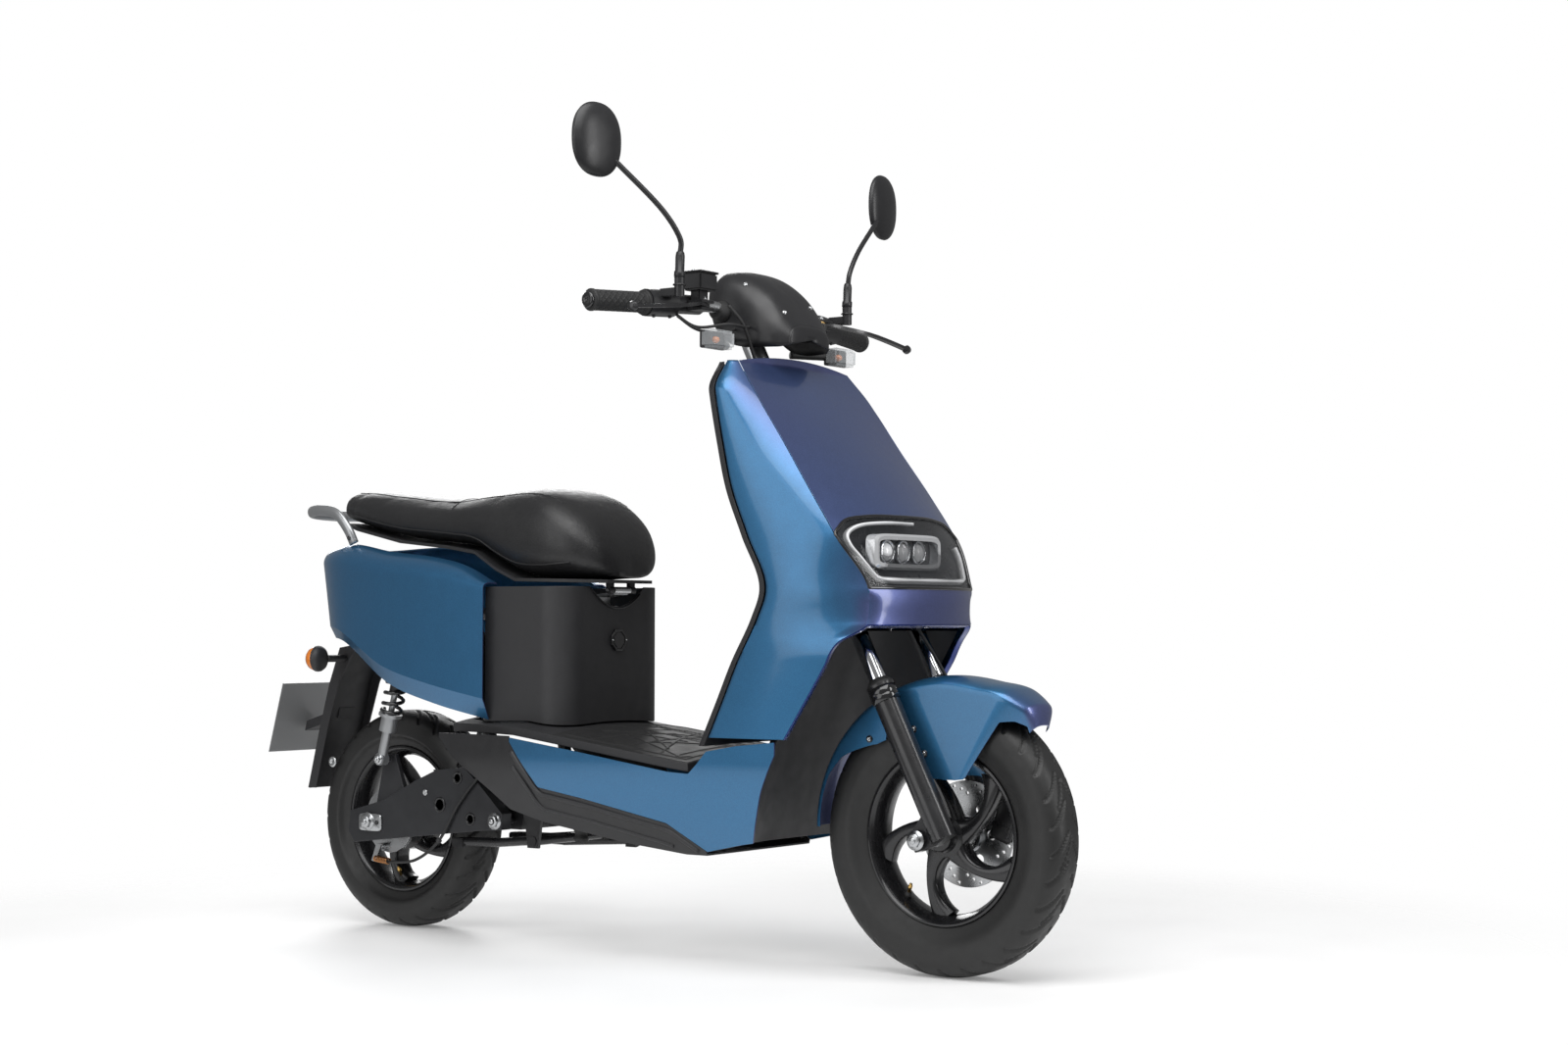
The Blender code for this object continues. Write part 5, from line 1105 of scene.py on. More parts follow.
def mat():
    """Grid over the floor; ridge height = 1.3 mm times a soft step of the distance to the nearest line."""
    draw = np.random.default_rng(7)
    x = np.linspace(MAT_REAR, MAT_FRONT, 260)
    share = np.linspace(-1, 1, 300)
    gx, gs = np.meshgrid(x, share, indexing="ij")
    half = straight(gx, DECK_W) - 0.003
    gy = gs * half
    ridge = np.zeros_like(gx)
    for _ in range(26):
        angle = draw.uniform(0, np.pi)
        px, py = draw.uniform(0.53, 0.83), draw.uniform(-0.18, 0.18)
        reach = draw.uniform(0.06, 0.20)
        away = np.abs((gx - px) * np.sin(angle) - (gy - py) * np.cos(angle))
        along = np.abs((gx - px) * np.cos(angle) + (gy - py) * np.sin(angle))
        ridge = np.maximum(ridge, np.clip((0.0019 - away) / 0.0008, 0, 1) * (along < reach))
    border = np.minimum(half - np.abs(gy), np.minimum(gx - MAT_REAR, MAT_FRONT - gx))
    ridge *= np.clip((border - 0.020) / 0.001, 0, 1)
    rim = np.clip((border - 0.0145) / 0.0008, 0, 1) * np.clip((0.0185 - border) / 0.0008, 0, 1)
    base = straight(gx, DECK_Z) + DECK_CROWN * (1 - (gy / straight(gx, DECK_W)) ** 2)
    height = base + 0.0006 + RIDGE_HIGH * np.maximum(ridge, rim)
    top = np.stack([gx, gy, height], axis=2)
    under = np.stack([gx, gy, base - 0.0010], axis=2)
    return wall(top, under, "floor_mat")


mat_piece = dress(creased(mat(), 45), "chassis", rubber)
print("mat ridges:", len(mat_piece.data.polygons), "faces")

# %% Skirts and belly
SKIRT_TOP = [(0.436, 0.383), (0.600, 0.362), (0.800, 0.334), (0.845, 0.332), (0.866, 0.350), (0.886, 0.371),
             (0.950, 0.382),
             (1.030, 0.390)]
SKIRT_LOW = [(0.436, 0.376), (0.495, 0.296), (0.600, 0.279), (0.777, 0.244), (0.853, 0.197), (0.932, 0.213),
             (0.957, 0.217),
             (0.994, 0.304), (1.030, 0.368)]
SKIRT_Y = [(0.190, 0.148), (0.250, 0.172), (0.340, 0.196), (0.400, 0.198)]


def skirt(side):
    """Grid between the upper and lower edge lines; width beside the middle comes from the height."""
    x = np.linspace(0.436, 1.030, 220)
    t = np.linspace(0, 1, 26)
    high, low = straight(x, SKIRT_TOP), straight(x, SKIRT_LOW)
    z = high[:, None] + (low - high)[:, None] * t
    y = smooth(z, SKIRT_Y)
    gx = np.broadcast_to(x[:, None], z.shape)
    outer = np.stack([gx, side * y, z], axis=2)
    inner = np.stack([gx, side * (y - SHEET), z], axis=2)
    return wall(outer, inner, f"side_skirt_{SIDE_WORD[side]}_skin")


for side, word in SIDES:
    dress(crisp(skirt(side), 0.0010, 2, 50), "chassis", blue, (f"side_skirt_{word}",))
softened("belly_pan", "belly_pan_skin", 0.0012, satin)
MOULD_X = np.linspace(0.440, 0.960, 120)
for side, word in SIDES:
    for index, (drop, radius) in enumerate(((0.012, 0.0045), (0.038, 0.0038))):
        base = straight(MOULD_X, SKIRT_LOW) - drop
        floor_line = straight(MOULD_X, [(0.262, 0.380), (0.295, 0.343), (0.376, 0.285), (0.417, 0.253),
                                        (0.489, 0.233),
                                        (0.672, 0.204), (0.805, 0.190), (0.850, 0.190), (0.960, 0.200)])
        keep = (base > floor_line + 0.006) & (MOULD_X < 0.845)
        line = np.stack([MOULD_X[keep], side * (smooth(base[keep], SKIRT_Y) - 0.0015), base[keep]], axis=1)
        dress(tube(f"belly_moulding_{word}_{index}", line[::6], radius, 10, 90), "chassis", matt)
for side in SIDE_WORD:
    knob = turned(f"rubber_stop_{SIDE_WORD[side]}",
                  [(0, 0), (0.0150, 0), (0.0150, 0.010), (0.0110, 0.016), (0.0110, 0.022), (0.0140, 0.026),
                           (0.0130, 0.032), (0, 0.032)], (0.522, side * 0.100, 0.2280), (0, 0, -1), 32)
    dress(knob, "chassis", rubber)
print("floor made")

# %% [markdown]
# ## Seat tower
# The wall under the seat is a moulded tub with round front corners, a dished recess for the seat hinge and an
# eight-sided charging port. Its outline is walked once in plan and raised as a grid.

# %% Tower
TOWER_RIM = 0.655
PORT = np.array([0.5188, 0.0, 0.557])


def recess_dip(y):
    """How far the rim sinks for the hinge: 36 mm times a parabola 75 mm to each side."""
    return 0.036 * np.clip(1 - (y / 0.075) ** 2, 0, 1)


def tower():
    """Plan: straight sides, two quarter circles of 60 mm, straight front; rows rise from the deck to the rim,
    which dips by a parabola at the middle of the front."""
    corner, front, rear, half_w = 0.060, 0.520, 0.330, 0.150
    turn = np.linspace(np.pi / 2, 0, 24)
    left = [(x, half_w - 0.004 * (x - rear) / 0.13) for x in np.linspace(rear, front - corner - 0.004, 14)]
    left += [(front - corner + corner * math.cos(a),
              half_w - 0.004 - corner + corner * math.sin(a)) for a in turn]
    left += [(front, y) for y in np.linspace(0.080, 0.004, 22)]
    plan = np.array(left + [(front, 0.0)] + [(x, -y) for x, y in left[::-1]])
    dip = recess_dip(plan[:, 1]) * (plan[:, 0] > front - 0.002)
    beside = np.clip(np.abs(plan[:, 1]) / straight(plan[:, 0], DECK_W), 0, 1)
    low = straight(plan[:, 0], DECK_Z) + DECK_CROWN * (1 - beside ** 2) + 0.0035
    high = TOWER_RIM - dip
    t = np.linspace(0, 1, 40)
    z = low[:, None] + (high - low)[:, None] * t
    reach = np.hypot(plan[:, 0] - 0.40, plan[:, 1])
    away = np.stack([(plan[:, 0] - 0.40) / reach, plan[:, 1] / reach], axis=1)
    outer = np.stack([np.broadcast_to(plan[:, 0:1], z.shape), np.broadcast_to(plan[:, 1:2], z.shape), z],
                     axis=2)
    inner = outer.copy()
    inner[..., :2] -= SHEET * away[:, None]
    return wall(outer, inner, "seat_tower_skin")


dress(crisp(tower(), 0.0012, 3, 50), "chassis", matt, ("seat_tower",))
port = turned("charge_port_ring", [(0, 0), (0.0215, 0), (0.0215, 0.0055), (0.0205, 0.0065), (0.0172, 0.0065),
                                   (0.0165, 0.0058),
                                   (0.0165, 0.0030), (0, 0.0030)], PORT, (1, 0, 0), 8, math.pi / 8)
port.data.shade_flat()
dress(crisp(port, 0.0008, 2, 30), "chassis", gloss)
softened("charge_port_flap", "charge_port_lid", 0.0006, gloss)
for y in (-0.0190, 0.0190):
    screw("chassis", PORT + np.array([0.0057, y, 0.0]), (1, 0, 0), 0.0017)
recess_y = np.linspace(-0.074, 0.074, 60)
recess = np.stack([np.full(60, 0.5212), recess_y, TOWER_RIM - recess_dip(recess_y) - 0.0035], axis=1)
dress(tube("recess_bead", recess[::5], 0.0017, 8, 90), "chassis", satin)
softened("seat_hinge", "seat_hinge_leaf", 0.0004, steel)
softened("battery", "battery_case", 0.003, matt)
print("tower made")

# %% [markdown]
# ## Seat
# The cushion is a real soft form: a closed body a little smaller than its place is inflated as cloth. Points
# near the pan stay where they were, the rest may move at most 5 mm. What comes out is smoothed by one
# subdivision, covered in grained leather and edged with piping.

# %% Leather
leather = finish("grained_black_leather", (0.021, 0.021, 0.022), (0.012, 0.012, 0.013), 0.40, mottle=14.0,
                 grain=230.0,
                 lift=0.30, rough_swing=0.07, depth=0.0006)
leather_nodes = leather.node_tree.nodes
pebble = leather_nodes.new("ShaderNodeTexVoronoi")
fill(pebble, Scale=620.0)
pebble_sum = leather_nodes.new("ShaderNodeMath")
pebble_sum.operation = "ADD"
link(leather_nodes["Texture Coordinate"], "Object", pebble, "Vector")
link(pebble, "Distance", pebble_sum, 0)
link(leather_nodes["Noise Texture.002"], "Fac", pebble_sum, 1)
link(pebble_sum, 0, leather_nodes["Bump"], "Height")

# %% Seat cushion
SEAT_BASE = [(-0.130, 0.790), (-0.050, 0.772), (0.070, 0.748), (0.200, 0.735), (0.273, 0.724), (0.330, 0.692),
             (0.380, 0.672), (0.560, 0.668)]
SEAT_CROWN = [(-0.132, 0.808), (-0.110, 0.838), (-0.060, 0.843), (0.040, 0.834), (0.200, 0.822),
              (0.300, 0.830),
              (0.380, 0.836), (0.440, 0.828), (0.490, 0.800), (0.525, 0.765), (0.550, 0.722), (0.560, 0.690)]
SEAT_HALF = [(-0.132, 0.050), (-0.110, 0.086), (-0.060, 0.108), (0.050, 0.122), (0.250, 0.132),
             (0.400, 0.140),
             (0.470, 0.134), (0.520, 0.108), (0.550, 0.070), (0.560, 0.040)]

SEAT_TAIL, SEAT_LONG = -0.132, 0.692
CLOTH_FRAMES = 20
CLOTH_VOXEL = 0.0055
CLOTH_PRESSURE = 4.0
CLOTH_STIFFNESS = 18.0


def seat_section(x, turn, shrink):
    """Superellipse section: width by cos to the power 0.7, height by sin to the power 0.75."""
    base, crown, half = smooth(x, SEAT_BASE), smooth(x, SEAT_CROWN), smooth(x, SEAT_HALF)
    middle, lift = (base + crown) / 2, (crown - base) / 2 - shrink
    c, s = np.cos(turn), np.sin(turn)
    y = (half - shrink) * np.sign(c) * np.abs(c) ** 0.7
    return np.stack([x, y, middle + lift * np.sign(s) * np.abs(s) ** 0.75], axis=-1)


def seat_body(shrink):
    """Closed body: sections from the tail to the nose, each end closed by one face."""
    rows, cols = 110, 72
    x = SEAT_TAIL + SEAT_LONG * (0.5 - 0.5 * np.cos(np.linspace(0.05, np.pi - 0.05, rows)))
    grid = seat_section(np.broadcast_to(x[:, None], (rows, cols)), full_turn(cols)[None, :], shrink)
    return outward(add_mesh("seat_cushion_soft", grid.reshape(-1, 3), tube_faces(rows, cols)))


def points_of(mesh):
    """A mesh's corners as an array."""
    flat = np.empty(len(mesh.vertices) * 3)
    mesh.vertices.foreach_get("co", flat)
    return flat.reshape(-1, 3)


def inflate(obj, most, hold_below):
    """Cloth with inner pressure and no weight for twenty frames; then each point's move is cut to a
    largest length, and faded out below a height above its own base line."""
    remesh = obj.modifiers.new("even", "REMESH")
    remesh.mode = "VOXEL"
    remesh.voxel_size = CLOTH_VOXEL
    bpy.context.view_layer.objects.active = obj
    bpy.ops.object.modifier_apply(modifier=remesh.name)
    start = points_of(obj.data)
    cloth = obj.modifiers.new("swell", "CLOTH")
    how = cloth.settings
    how.quality = 6
    how.mass = 0.3
    how.tension_stiffness = how.compression_stiffness = CLOTH_STIFFNESS
    how.bending_stiffness = 1.5
    how.use_pressure = True
    how.uniform_pressure_force = CLOTH_PRESSURE
    how.effector_weights.gravity = 0.0
    cloth.point_cache.frame_start = 1
    cloth.point_cache.frame_end = CLOTH_FRAMES
    scene = bpy.context.scene
    for frame_number in range(1, CLOTH_FRAMES + 1):
        scene.frame_set(frame_number)
    move = points_of(obj.evaluated_get(bpy.context.evaluated_depsgraph_get()).data) - start
    obj.modifiers.remove(cloth)
    scene.frame_set(1)
    reach = np.linalg.norm(move, axis=1)
    move *= np.minimum(1.0, most / np.maximum(reach, 1e-9))[:, None]
    x = start[:, 0] - SHIFT
    above = start[:, 2] - smooth(np.clip(x, -0.13, 0.56), SEAT_BASE)
    move *= np.clip((above - hold_below) / 0.030, 0, 1)[:, None]
    obj.data.vertices.foreach_set("co", (start + move).ravel())
    obj.data.update()
    print("seat swelled by", round(float(np.linalg.norm(move, axis=1).max()) * 1000, 1), "mm at most")


def rounded(obj, passes):
    """Laplacian smoothing: each vertex steps half way to the mean of its neighbours."""
    pairs = np.empty(len(obj.data.edges) * 2, int)
    obj.data.edges.foreach_get("vertices", pairs)
    pairs = pairs.reshape(-1, 2)
    points = points_of(obj.data)
    count = np.bincount(pairs.ravel(), minlength=len(points))[:, None]
    for _ in range(passes):
        total = np.zeros_like(points)
        np.add.at(total, pairs[:, 0], points[pairs[:, 1]])
        np.add.at(total, pairs[:, 1], points[pairs[:, 0]])
        points = 0.5 * points + 0.5 * total / count
    obj.data.vertices.foreach_set("co", points.ravel())
    obj.data.update()


def ray_tree(obj):
    """A search tree that rays can be cast against."""
    return BVHTree.FromPolygons([tuple(v.co) for v in obj.data.vertices],
                                [tuple(p.vertices) for p in obj.data.polygons])


cushion = seat_body(0.0022)
inflate(cushion, 0.0050, 0.004)
rounded(cushion, 2)
smoother = cushion.modifiers.new("smooth", "SUBSURF")
smoother.levels = smoother.render_levels = 1
bpy.context.view_layer.objects.active = cushion
bpy.ops.object.modifier_apply(modifier=smoother.name)
cushion.data.shade_smooth()
cushion_tree = ray_tree(cushion)
dress(cushion, "seat", leather, ("seat_cushion",))


def on_cushion(start, way):
    """Where a ray from a point meets the cushion, in the tables' own frame; None if it misses."""
    hit = cushion_tree.ray_cast(Vector((start[0] + SHIFT, start[1], start[2])), Vector(way).normalized())
    if hit[0] is None:
        return None
    return np.array([hit[0].x - SHIFT, hit[0].y, hit[0].z])


def seam_line(starts, way):
    """All the hits of a row of rays."""
    hits = [on_cushion(s, way) for s in starts]
    return np.array([h for h in hits if h is not None])


PIPING_R, SEAM_R = 0.0022, 0.0011
ABOVE_SEAT = 0.95
piping, seams = [], []
pipe_x, seam_x = np.linspace(-0.095, 0.520, 60), np.linspace(-0.080, 0.485, 60)
level = smooth(pipe_x, SEAT_BASE) + 0.022 + 0.010 * np.clip((pipe_x - 0.3) / 0.2, 0, 1)
for side in SIDE_WORD:
    edge_line = seam_line(np.stack([pipe_x, np.full(60, side * 0.30), level], 1), (0, -side, 0))
    piping.append(tube("piping", edge_line[::3], PIPING_R, 10, 240))
    beside = side * smooth(seam_x, SEAT_HALF) * 0.66
    top = seam_line(np.stack([seam_x, beside, np.full(60, ABOVE_SEAT)], 1), (0, 0, -1))
    seams.append(tube("seam", top[::3], SEAM_R, 8, 240))
dress(gather("seat_piping", piping), "seat", leather)
across = seam_line(np.stack([np.full(40, 0.205), np.linspace(-0.118, 0.118, 40), np.full(40, ABOVE_SEAT)], 1),
                   (0, 0, -1))
seams.append(tube("seam", across[::2], SEAM_R, 8, 120))
dress(gather("seat_seams", seams), "seat", leather)
softened("seat_pan", "seat_pan_skin", 0.0010, matt)
print("seat made")

# %% [markdown]
# ## Rear body
# The tail covers are one surface a side: twelve plan stations joined by a smooth curve, each with a rim, a
# shoulder and a flank that breaks along a crease. The grab rail is an oval tube bent round the tail.

# %% Rear covers
REAR_PLAN = [(0.345, 0.172), (0.270, 0.175), (0.190, 0.176), (0.110, 0.174), (0.030, 0.168), (-0.040, 0.158),
             (-0.090, 0.142), (-0.130, 0.118), (-0.155, 0.088), (-0.170, 0.050), (-0.176, 0.022),
             (-0.178, 0.0005)]
REAR_RIM = [(-0.178, 0.730), (-0.050, 0.740), (0.070, 0.724), (0.200, 0.710), (0.273, 0.694), (0.345, 0.662)]
REAR_SHOULDER = [(-0.178, 0.706), (-0.060, 0.700), (0.070, 0.685), (0.200, 0.672), (0.345, 0.652)]
REAR_LOW = [(-0.178, 0.560), (-0.065, 0.552), (0.079, 0.475), (0.200, 0.441), (0.345, 0.412)]
CREASE = 0.84  # of the flank's height, from the shoulder down


def rear_cover(side):
    """Plan curve through twelve stations; the flank keeps its width to a crease near its foot, then draws
    in by a tenth."""
    k = np.linspace(0, 11, 130)
    plan = np.array(REAR_PLAN)
    steps = np.arange(12.0)
    x = smooth(k, list(zip(steps, plan[:, 0])))
    y = np.maximum(smooth(k, list(zip(steps, plan[:, 1]))), 0.0005)
    share = k / 11
    lean = 0.40 * share ** 2
    rim_z, high, low = smooth(x, REAR_RIM), smooth(x, REAR_SHOULDER), smooth(x, REAR_LOW)
    pull = np.maximum(0.0, 1 - 0.036 / np.maximum(y, 0.05))
    rows = []
    for t in np.linspace(0, 1, 14):
        a, b, c = (1 - t) ** 2, 2 * t * (1 - t), t ** 2
        px = a * (x + 0.012 * share) + b * x + c * x
        py = a * (y * pull) + b * y * 0.995 + c * y
        pz = a * rim_z + b * (rim_z * 0.45 + high * 0.55 + 0.010) + c * high
        rows.append(np.stack([px, py, pz], 1))
    for t in np.concatenate([np.linspace(0, CREASE, 22)[1:], np.linspace(CREASE, 1, 8)[1:]]):
        z = high + (low - high) * t
        draw_in = 0.10 * max(0.0, (t - CREASE) / 0.16)
        rows.append(np.stack([x + lean * (high - z), y * (1 - draw_in), z], 1))
    outer = np.array(rows)
    reach = np.hypot(x - 0.06, y * 1.4) + 1e-6
    inner = outer.copy()
    inner[..., 0] -= SHEET * (x - 0.06) / reach * (k > 0)
    inner[..., 1] = np.maximum(inner[..., 1] - SHEET * 1.4 * y / reach, 0.0003)
    inner[:14, :, 2] -= SHEET * np.linspace(1, 0, 14)[:, None]
    outer[..., 1] = np.maximum(outer[..., 1], 0.0005) * side
    inner[..., 1] *= side
    return wall(outer, inner, f"rear_cover_{SIDE_WORD[side]}_skin")


for side, word in SIDES:
    dress(creased(rear_cover(side), 15), "chassis", blue, (f"rear_cover_{word}",))

# %% Grab rail and lamps
RAIL = [(-0.036, 0.128, 0.742), (-0.048, 0.134, 0.770), (-0.078, 0.136, 0.800), (-0.130, 0.128, 0.808),
        (-0.180, 0.105, 0.806), (-0.205, 0.060, 0.804), (-0.212, 0.0, 0.803)]
RAIL += [(x, -y, z) for x, y, z in RAIL[-2::-1]]
oval = np.stack([0.0075 * np.cos(full_turn(28)), 0.0108 * np.sin(full_turn(28))], 1)
dress(tube("grab_rail_tube", RAIL, 0, 28, 160, section=oval), "chassis", silver, ("grab_rail",))
for side in SIDE_WORD:
    screw("chassis", (-0.040, side * 0.137, 0.752), (0.1, side, 0.05), 0.0045, "black")
softened("tail_light", "tail_light_lens", 0.0030, red, 3)
for side, word in SIDES:
    axis = (-1, side * 0.25, 0)
    base = (-0.126, side * 0.120, 0.519)
    lens = turned(f"rear_indicator_{word}_lens", [(0, 0.0345), (0.008, 0.0342), (0.0150, 0.0318),
                                                  (0.0200, 0.0270), (0.0228, 0.0205), (0.0236, 0.0140),
                           (0, 0.0140)][::-1], base, axis, 56)
    dress(lens, "chassis", amber, (f"rear_indicator_{word}",))
    case = turned("case", [(0, 0), (0.0170, 0.0), (0.0220, 0.0035), (0.0250, 0.0085), (0.0255, 0.0125),
                           (0.0252, 0.0150),
                           (0.0238, 0.0156), (0, 0.0156)], base, axis, 56)
    stalk = tube("stalk", [(-0.134, side * 0.104, 0.519), (-0.134, side * 0.080, 0.519),
                           (-0.134, side * 0.0565, 0.519)],
                 0.0070, 20, 24)
    dress(gather(f"rear_indicator_{word}_case", [case, stalk]), "chassis", matt)

# %% Mudguard and plate
softened("rear_mudguard", "rear_mudguard_skin", 0.0016, matt, 3)
for side in SIDE_WORD:
    screw("chassis", (-0.166, side * 0.0562, 0.315), (0, side, 0), 0.0105)
plate_points = np.array([v.co for v in NODES["number_plate"].data.vertices])
plate_middle = plate_points.mean(axis=0)
plate_axes = np.linalg.svd(plate_points - plate_middle, full_matrices=False)[2]
plate_out = plate_axes[2] * (-1 if plate_axes[2][0] > 0 else 1)
plate_wide = np.array([0.0, 1.0, 0.0])
plate_up = np.cross(plate_out, plate_wide)
plate_up *= np.sign(plate_up[2])
softened("number_plate", "number_plate_blank", 0.0004, plate_grey)


def on_plate(y, up, lift):
    """A point on the plate's rear face, in the tables' own frame."""
    point = plate_middle + plate_wide * y + plate_up * up + plate_out * (0.0009 + lift)
    return (point[0] - SHIFT, point[1], point[2])


c, s = squared(full_turn(80), 0.18)
border = [on_plate(0.0845 * a, 0.0655 * b, 0.0002) for a, b in zip(c, s)]
dress(tube("number_plate_bead", border + [border[0]], 0.0010, 8, 320), "chassis", plate_grey)
for y in (-0.055, 0.055):
    screw("chassis", on_plate(y, 0.048, 0.0), tuple(plate_out), 0.0060)
print("rear body made")

# %% [markdown]
# ## Frame and rear running gear
# The tube frame and the swing arm keep their shapes and get rounded edges and a finish. Over each shock
# absorber winds a coil spring: a helix about the line between its two seats.

# %% Frame and arm
ARM_FACE = 0.1182
softened("frame", "frame_finish", 0.0008, black_metal)
softened("swing_arm", "swing_arm_casting", 0.0030, dark_metal, 3)
for side in SIDE_WORD:
    face = side * ARM_FACE
    nut("rear_arm", (0.327, face, 0.224), (0, side, 0), 0.0110, 0.0080)
    for x, z, radius in ((0.2323, 0.3000, 0.0085), (0.1875, 0.2485, 0.0110), (0.2657, 0.2250, 0.0085)):
        boss = turned("boss", [(0, -0.0005), (radius + 0.0035, -0.0005), (radius + 0.0035, 0.0008),
                               (radius + 0.0022, 0.0020),
                               (radius, 0.0020), (radius - 0.0008, -0.0002), (0, -0.0002)][::-1],
                               (x, face, z), (0, side, 0), 40)
        dress(boss, "rear_arm", cast_black)
    screw("rear_arm", (0.150, face, 0.2700), (0, side, 0), 0.0060)
adjusters = []
c, s = squared(full_turn(60), 0.35)
for side in SIDE_WORD:
    grid = np.array([np.stack([0.030 * c * grow + 0.006, np.full(60, side * (ARM_FACE + out)),
                               0.0165 * s * grow + 0.2080], 1)
                     for grow, out in ((0.0, 0.0), (1.0, 0.0), (1.0, 0.0030), (0.94, 0.0038), (0.0, 0.0038))])
    adjusters.append(outward(add_mesh("adjuster", grid.reshape(-1, 3), grid_faces(5, 60, wrap_cols=True))))
    nut("rear_arm", (0.0, side * 0.1222, 0.2095), (0, side, 0), 0.0120, 0.0085)
    screw("rear_arm", (0.026, side * 0.1222, 0.2080), (0, side, 0), 0.0045, "black")
dress(gather("chain_adjuster_plates", adjusters), "rear_arm", steel)
softened("rear_axle", "rear_axle_finish", 0.0005, steel)
softened("rear_brake_arm", "rear_brake_arm_finish", 0.0008, steel)


def helix(name, start, end, radius, wire, turns, sides=12):
    """Points at a radius about the line from start to end, turning at an even rate; the last half turn at
    each end lies flat, as a ground spring's does."""
    start, end = np.asarray(start, float), np.asarray(end, float)
    way = unit(end - start)
    first = unit(np.cross(way, [0.0, 1.0, 0.0]))
    second = np.cross(way, first)
    t = np.linspace(0, 1, int(turns * 22))
    flat = 0.5 / turns
    climb = np.clip((t - flat) / (1 - 2 * flat), 0, 1)
    angle = 2 * np.pi * turns * t
    line = (start + np.outer(climb, end - start)
            + radius * (np.cos(angle)[:, None] * first + np.sin(angle)[:, None] * second))
    return tube(name, line, wire, sides, len(t) * 2)


low_eye, high_eye = np.array([0.046, 0.0, 0.330]), np.array([0.118, 0.0, 0.600])
shock_way = unit(high_eye - low_eye)
SEAT_LOW, SEAT_HIGH = 0.0905, 0.0245  # spring seats, measured from the lower and the upper eye
SEAT_GAP = 0.0040
for side, word in SIDES:
    shift = np.array([0.0, side * 0.130, 0.0])
    low_seat = low_eye + shift + shock_way * (SEAT_LOW + SEAT_GAP)
    high_seat = high_eye + shift - shock_way * (SEAT_HIGH + SEAT_GAP)
    spring = helix(f"shock_spring_{word}", low_seat, high_seat, 0.0182, 0.0036, 8.5)
    dress(spring, f"shock_upper_{word}", gloss)
    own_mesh(spring)
    softened(f"shock_body_{word}", f"shock_body_{word}_finish", 0.0010, black_metal, 3, 40)
    softened(f"shock_rod_{word}", f"shock_rod_{word}_finish", 0.0010, silver, 3, 40)
    for eye, body in ((low_eye, "rear_arm"), (high_eye, "chassis")):
        nut(body, eye + shift + np.array([0, side * 0.0092, 0]), (0, side, 0), 0.0070, 0.0060)
copper_spring = helix("brake_return_spring", (-0.014, -0.0850, 0.1350), (0.028, -0.0935, 0.1330), 0.0052,
                      0.0011, 9, 8)
dress(copper_spring, "rear_arm", copper)
print("running gear made")

# %% [markdown]
# ## Handlebar, grips and cover
# The grips are rubber sleeves moulded in a diamond pattern: two families of fine ridges wind round the grip
# in opposite directions, and the sleeve's radius is the larger of the two waves. The bar, the switch
# housings and the levers are rounded copies of the engineering solids.

# %% Bar and grips
bar_high = fork_point(0.656, 0, 0)
bar_route = [bar_point(-0.386), bar_point(-0.14), (0.836, -0.085, 1.128)]
bar_route += [(bar_high[0] + 0.004, y, bar_high[2] - 0.006) for y in (-0.035, 0.035)]
bar_route += [(0.836, 0.085, 1.128), bar_point(0.14), bar_point(0.386)]
bar_tube = tube("bar_tube", bar_route, 0.0108, 24, 140)
neck = turned("neck", [(0.0125, 0), (0.0182, 0), (0.0190, 0.0010), (0.0190, 0.0895), (0.0180, 0.0910),
                       (0, 0.0910)],
              fork_point(0.565, 0, 0), tuple(UP_AXIS), 48)
dress(gather("handlebar_tube", [bar_tube, neck]), "steering", steel, ("handlebar",))
GRIP_R = 0.0168
GRIP_RIDGE = 0.0011


def grip(side, name, node, body):
    """Sleeve radius = GRIP_R plus a ridge where either of two opposite windings peaks, a flange at the
    inner end, a lip and a rounded end; one plain line marks where the mould halves meet."""
    start, end = bar_point(side * 0.272), bar_point(side * 0.394)
    length = float(np.linalg.norm(end - start))
    way = (end - start) / length
    first = unit(np.cross(way, [0.0, 0.0, 1.0]))
    second = np.cross(way, first)
    rows, cols = 170, 120
    a, t = np.meshgrid(np.linspace(0, 1, rows), full_turn(cols), indexing="ij")
    wave = np.maximum(np.cos(10 * t + 62 * a), np.cos(10 * t - 62 * a))
    inside = np.clip((a - 0.09) / 0.01, 0, 1) * np.clip((0.90 - a) / 0.01, 0, 1)
    off_seam = t > 0
    radius = GRIP_R + GRIP_RIDGE * np.clip((wave - 0.80) / 0.14, 0, 1) * inside * off_seam
    radius = radius + 0.0045 * np.clip((0.050 - a) / 0.012, 0,
                                       1) + 0.0022 * np.clip((a - 0.925) / 0.012, 0, 1)
    radius = radius - 0.0080 * np.clip((a - 0.965) / 0.035, 0, 1) ** 2
    grid = (start + a[..., None] * length * way
            + radius[..., None] * (np.cos(t)[..., None] * first + np.sin(t)[..., None] * second))
    made = outward(add_mesh(name, grid.reshape(-1, 3), tube_faces(rows, cols)))
    return dress(made, body, rubber, (node,))


grip(-1, "throttle_grip_sleeve", "throttle_grip", "throttle")
grip(1, "left_grip_sleeve", "left_grip", "steering")
for side in SIDE_WORD:
    weight = turned(f"bar_end_{SIDE_WORD[side]}", [(0, -0.002), (0.0135, -0.002), (0.0140, 0.002),
                                                   (0.0140, 0.0045), (0.0120, 0.0062), (0.0045, 0.0062),
                                (0.0040, 0.0048), (0, 0.0048)], bar_point(side * 0.3925),
                                bar_point(side * 0.394) - bar_point(side * 0.3), 40)
    dress(weight, "steering", gloss)

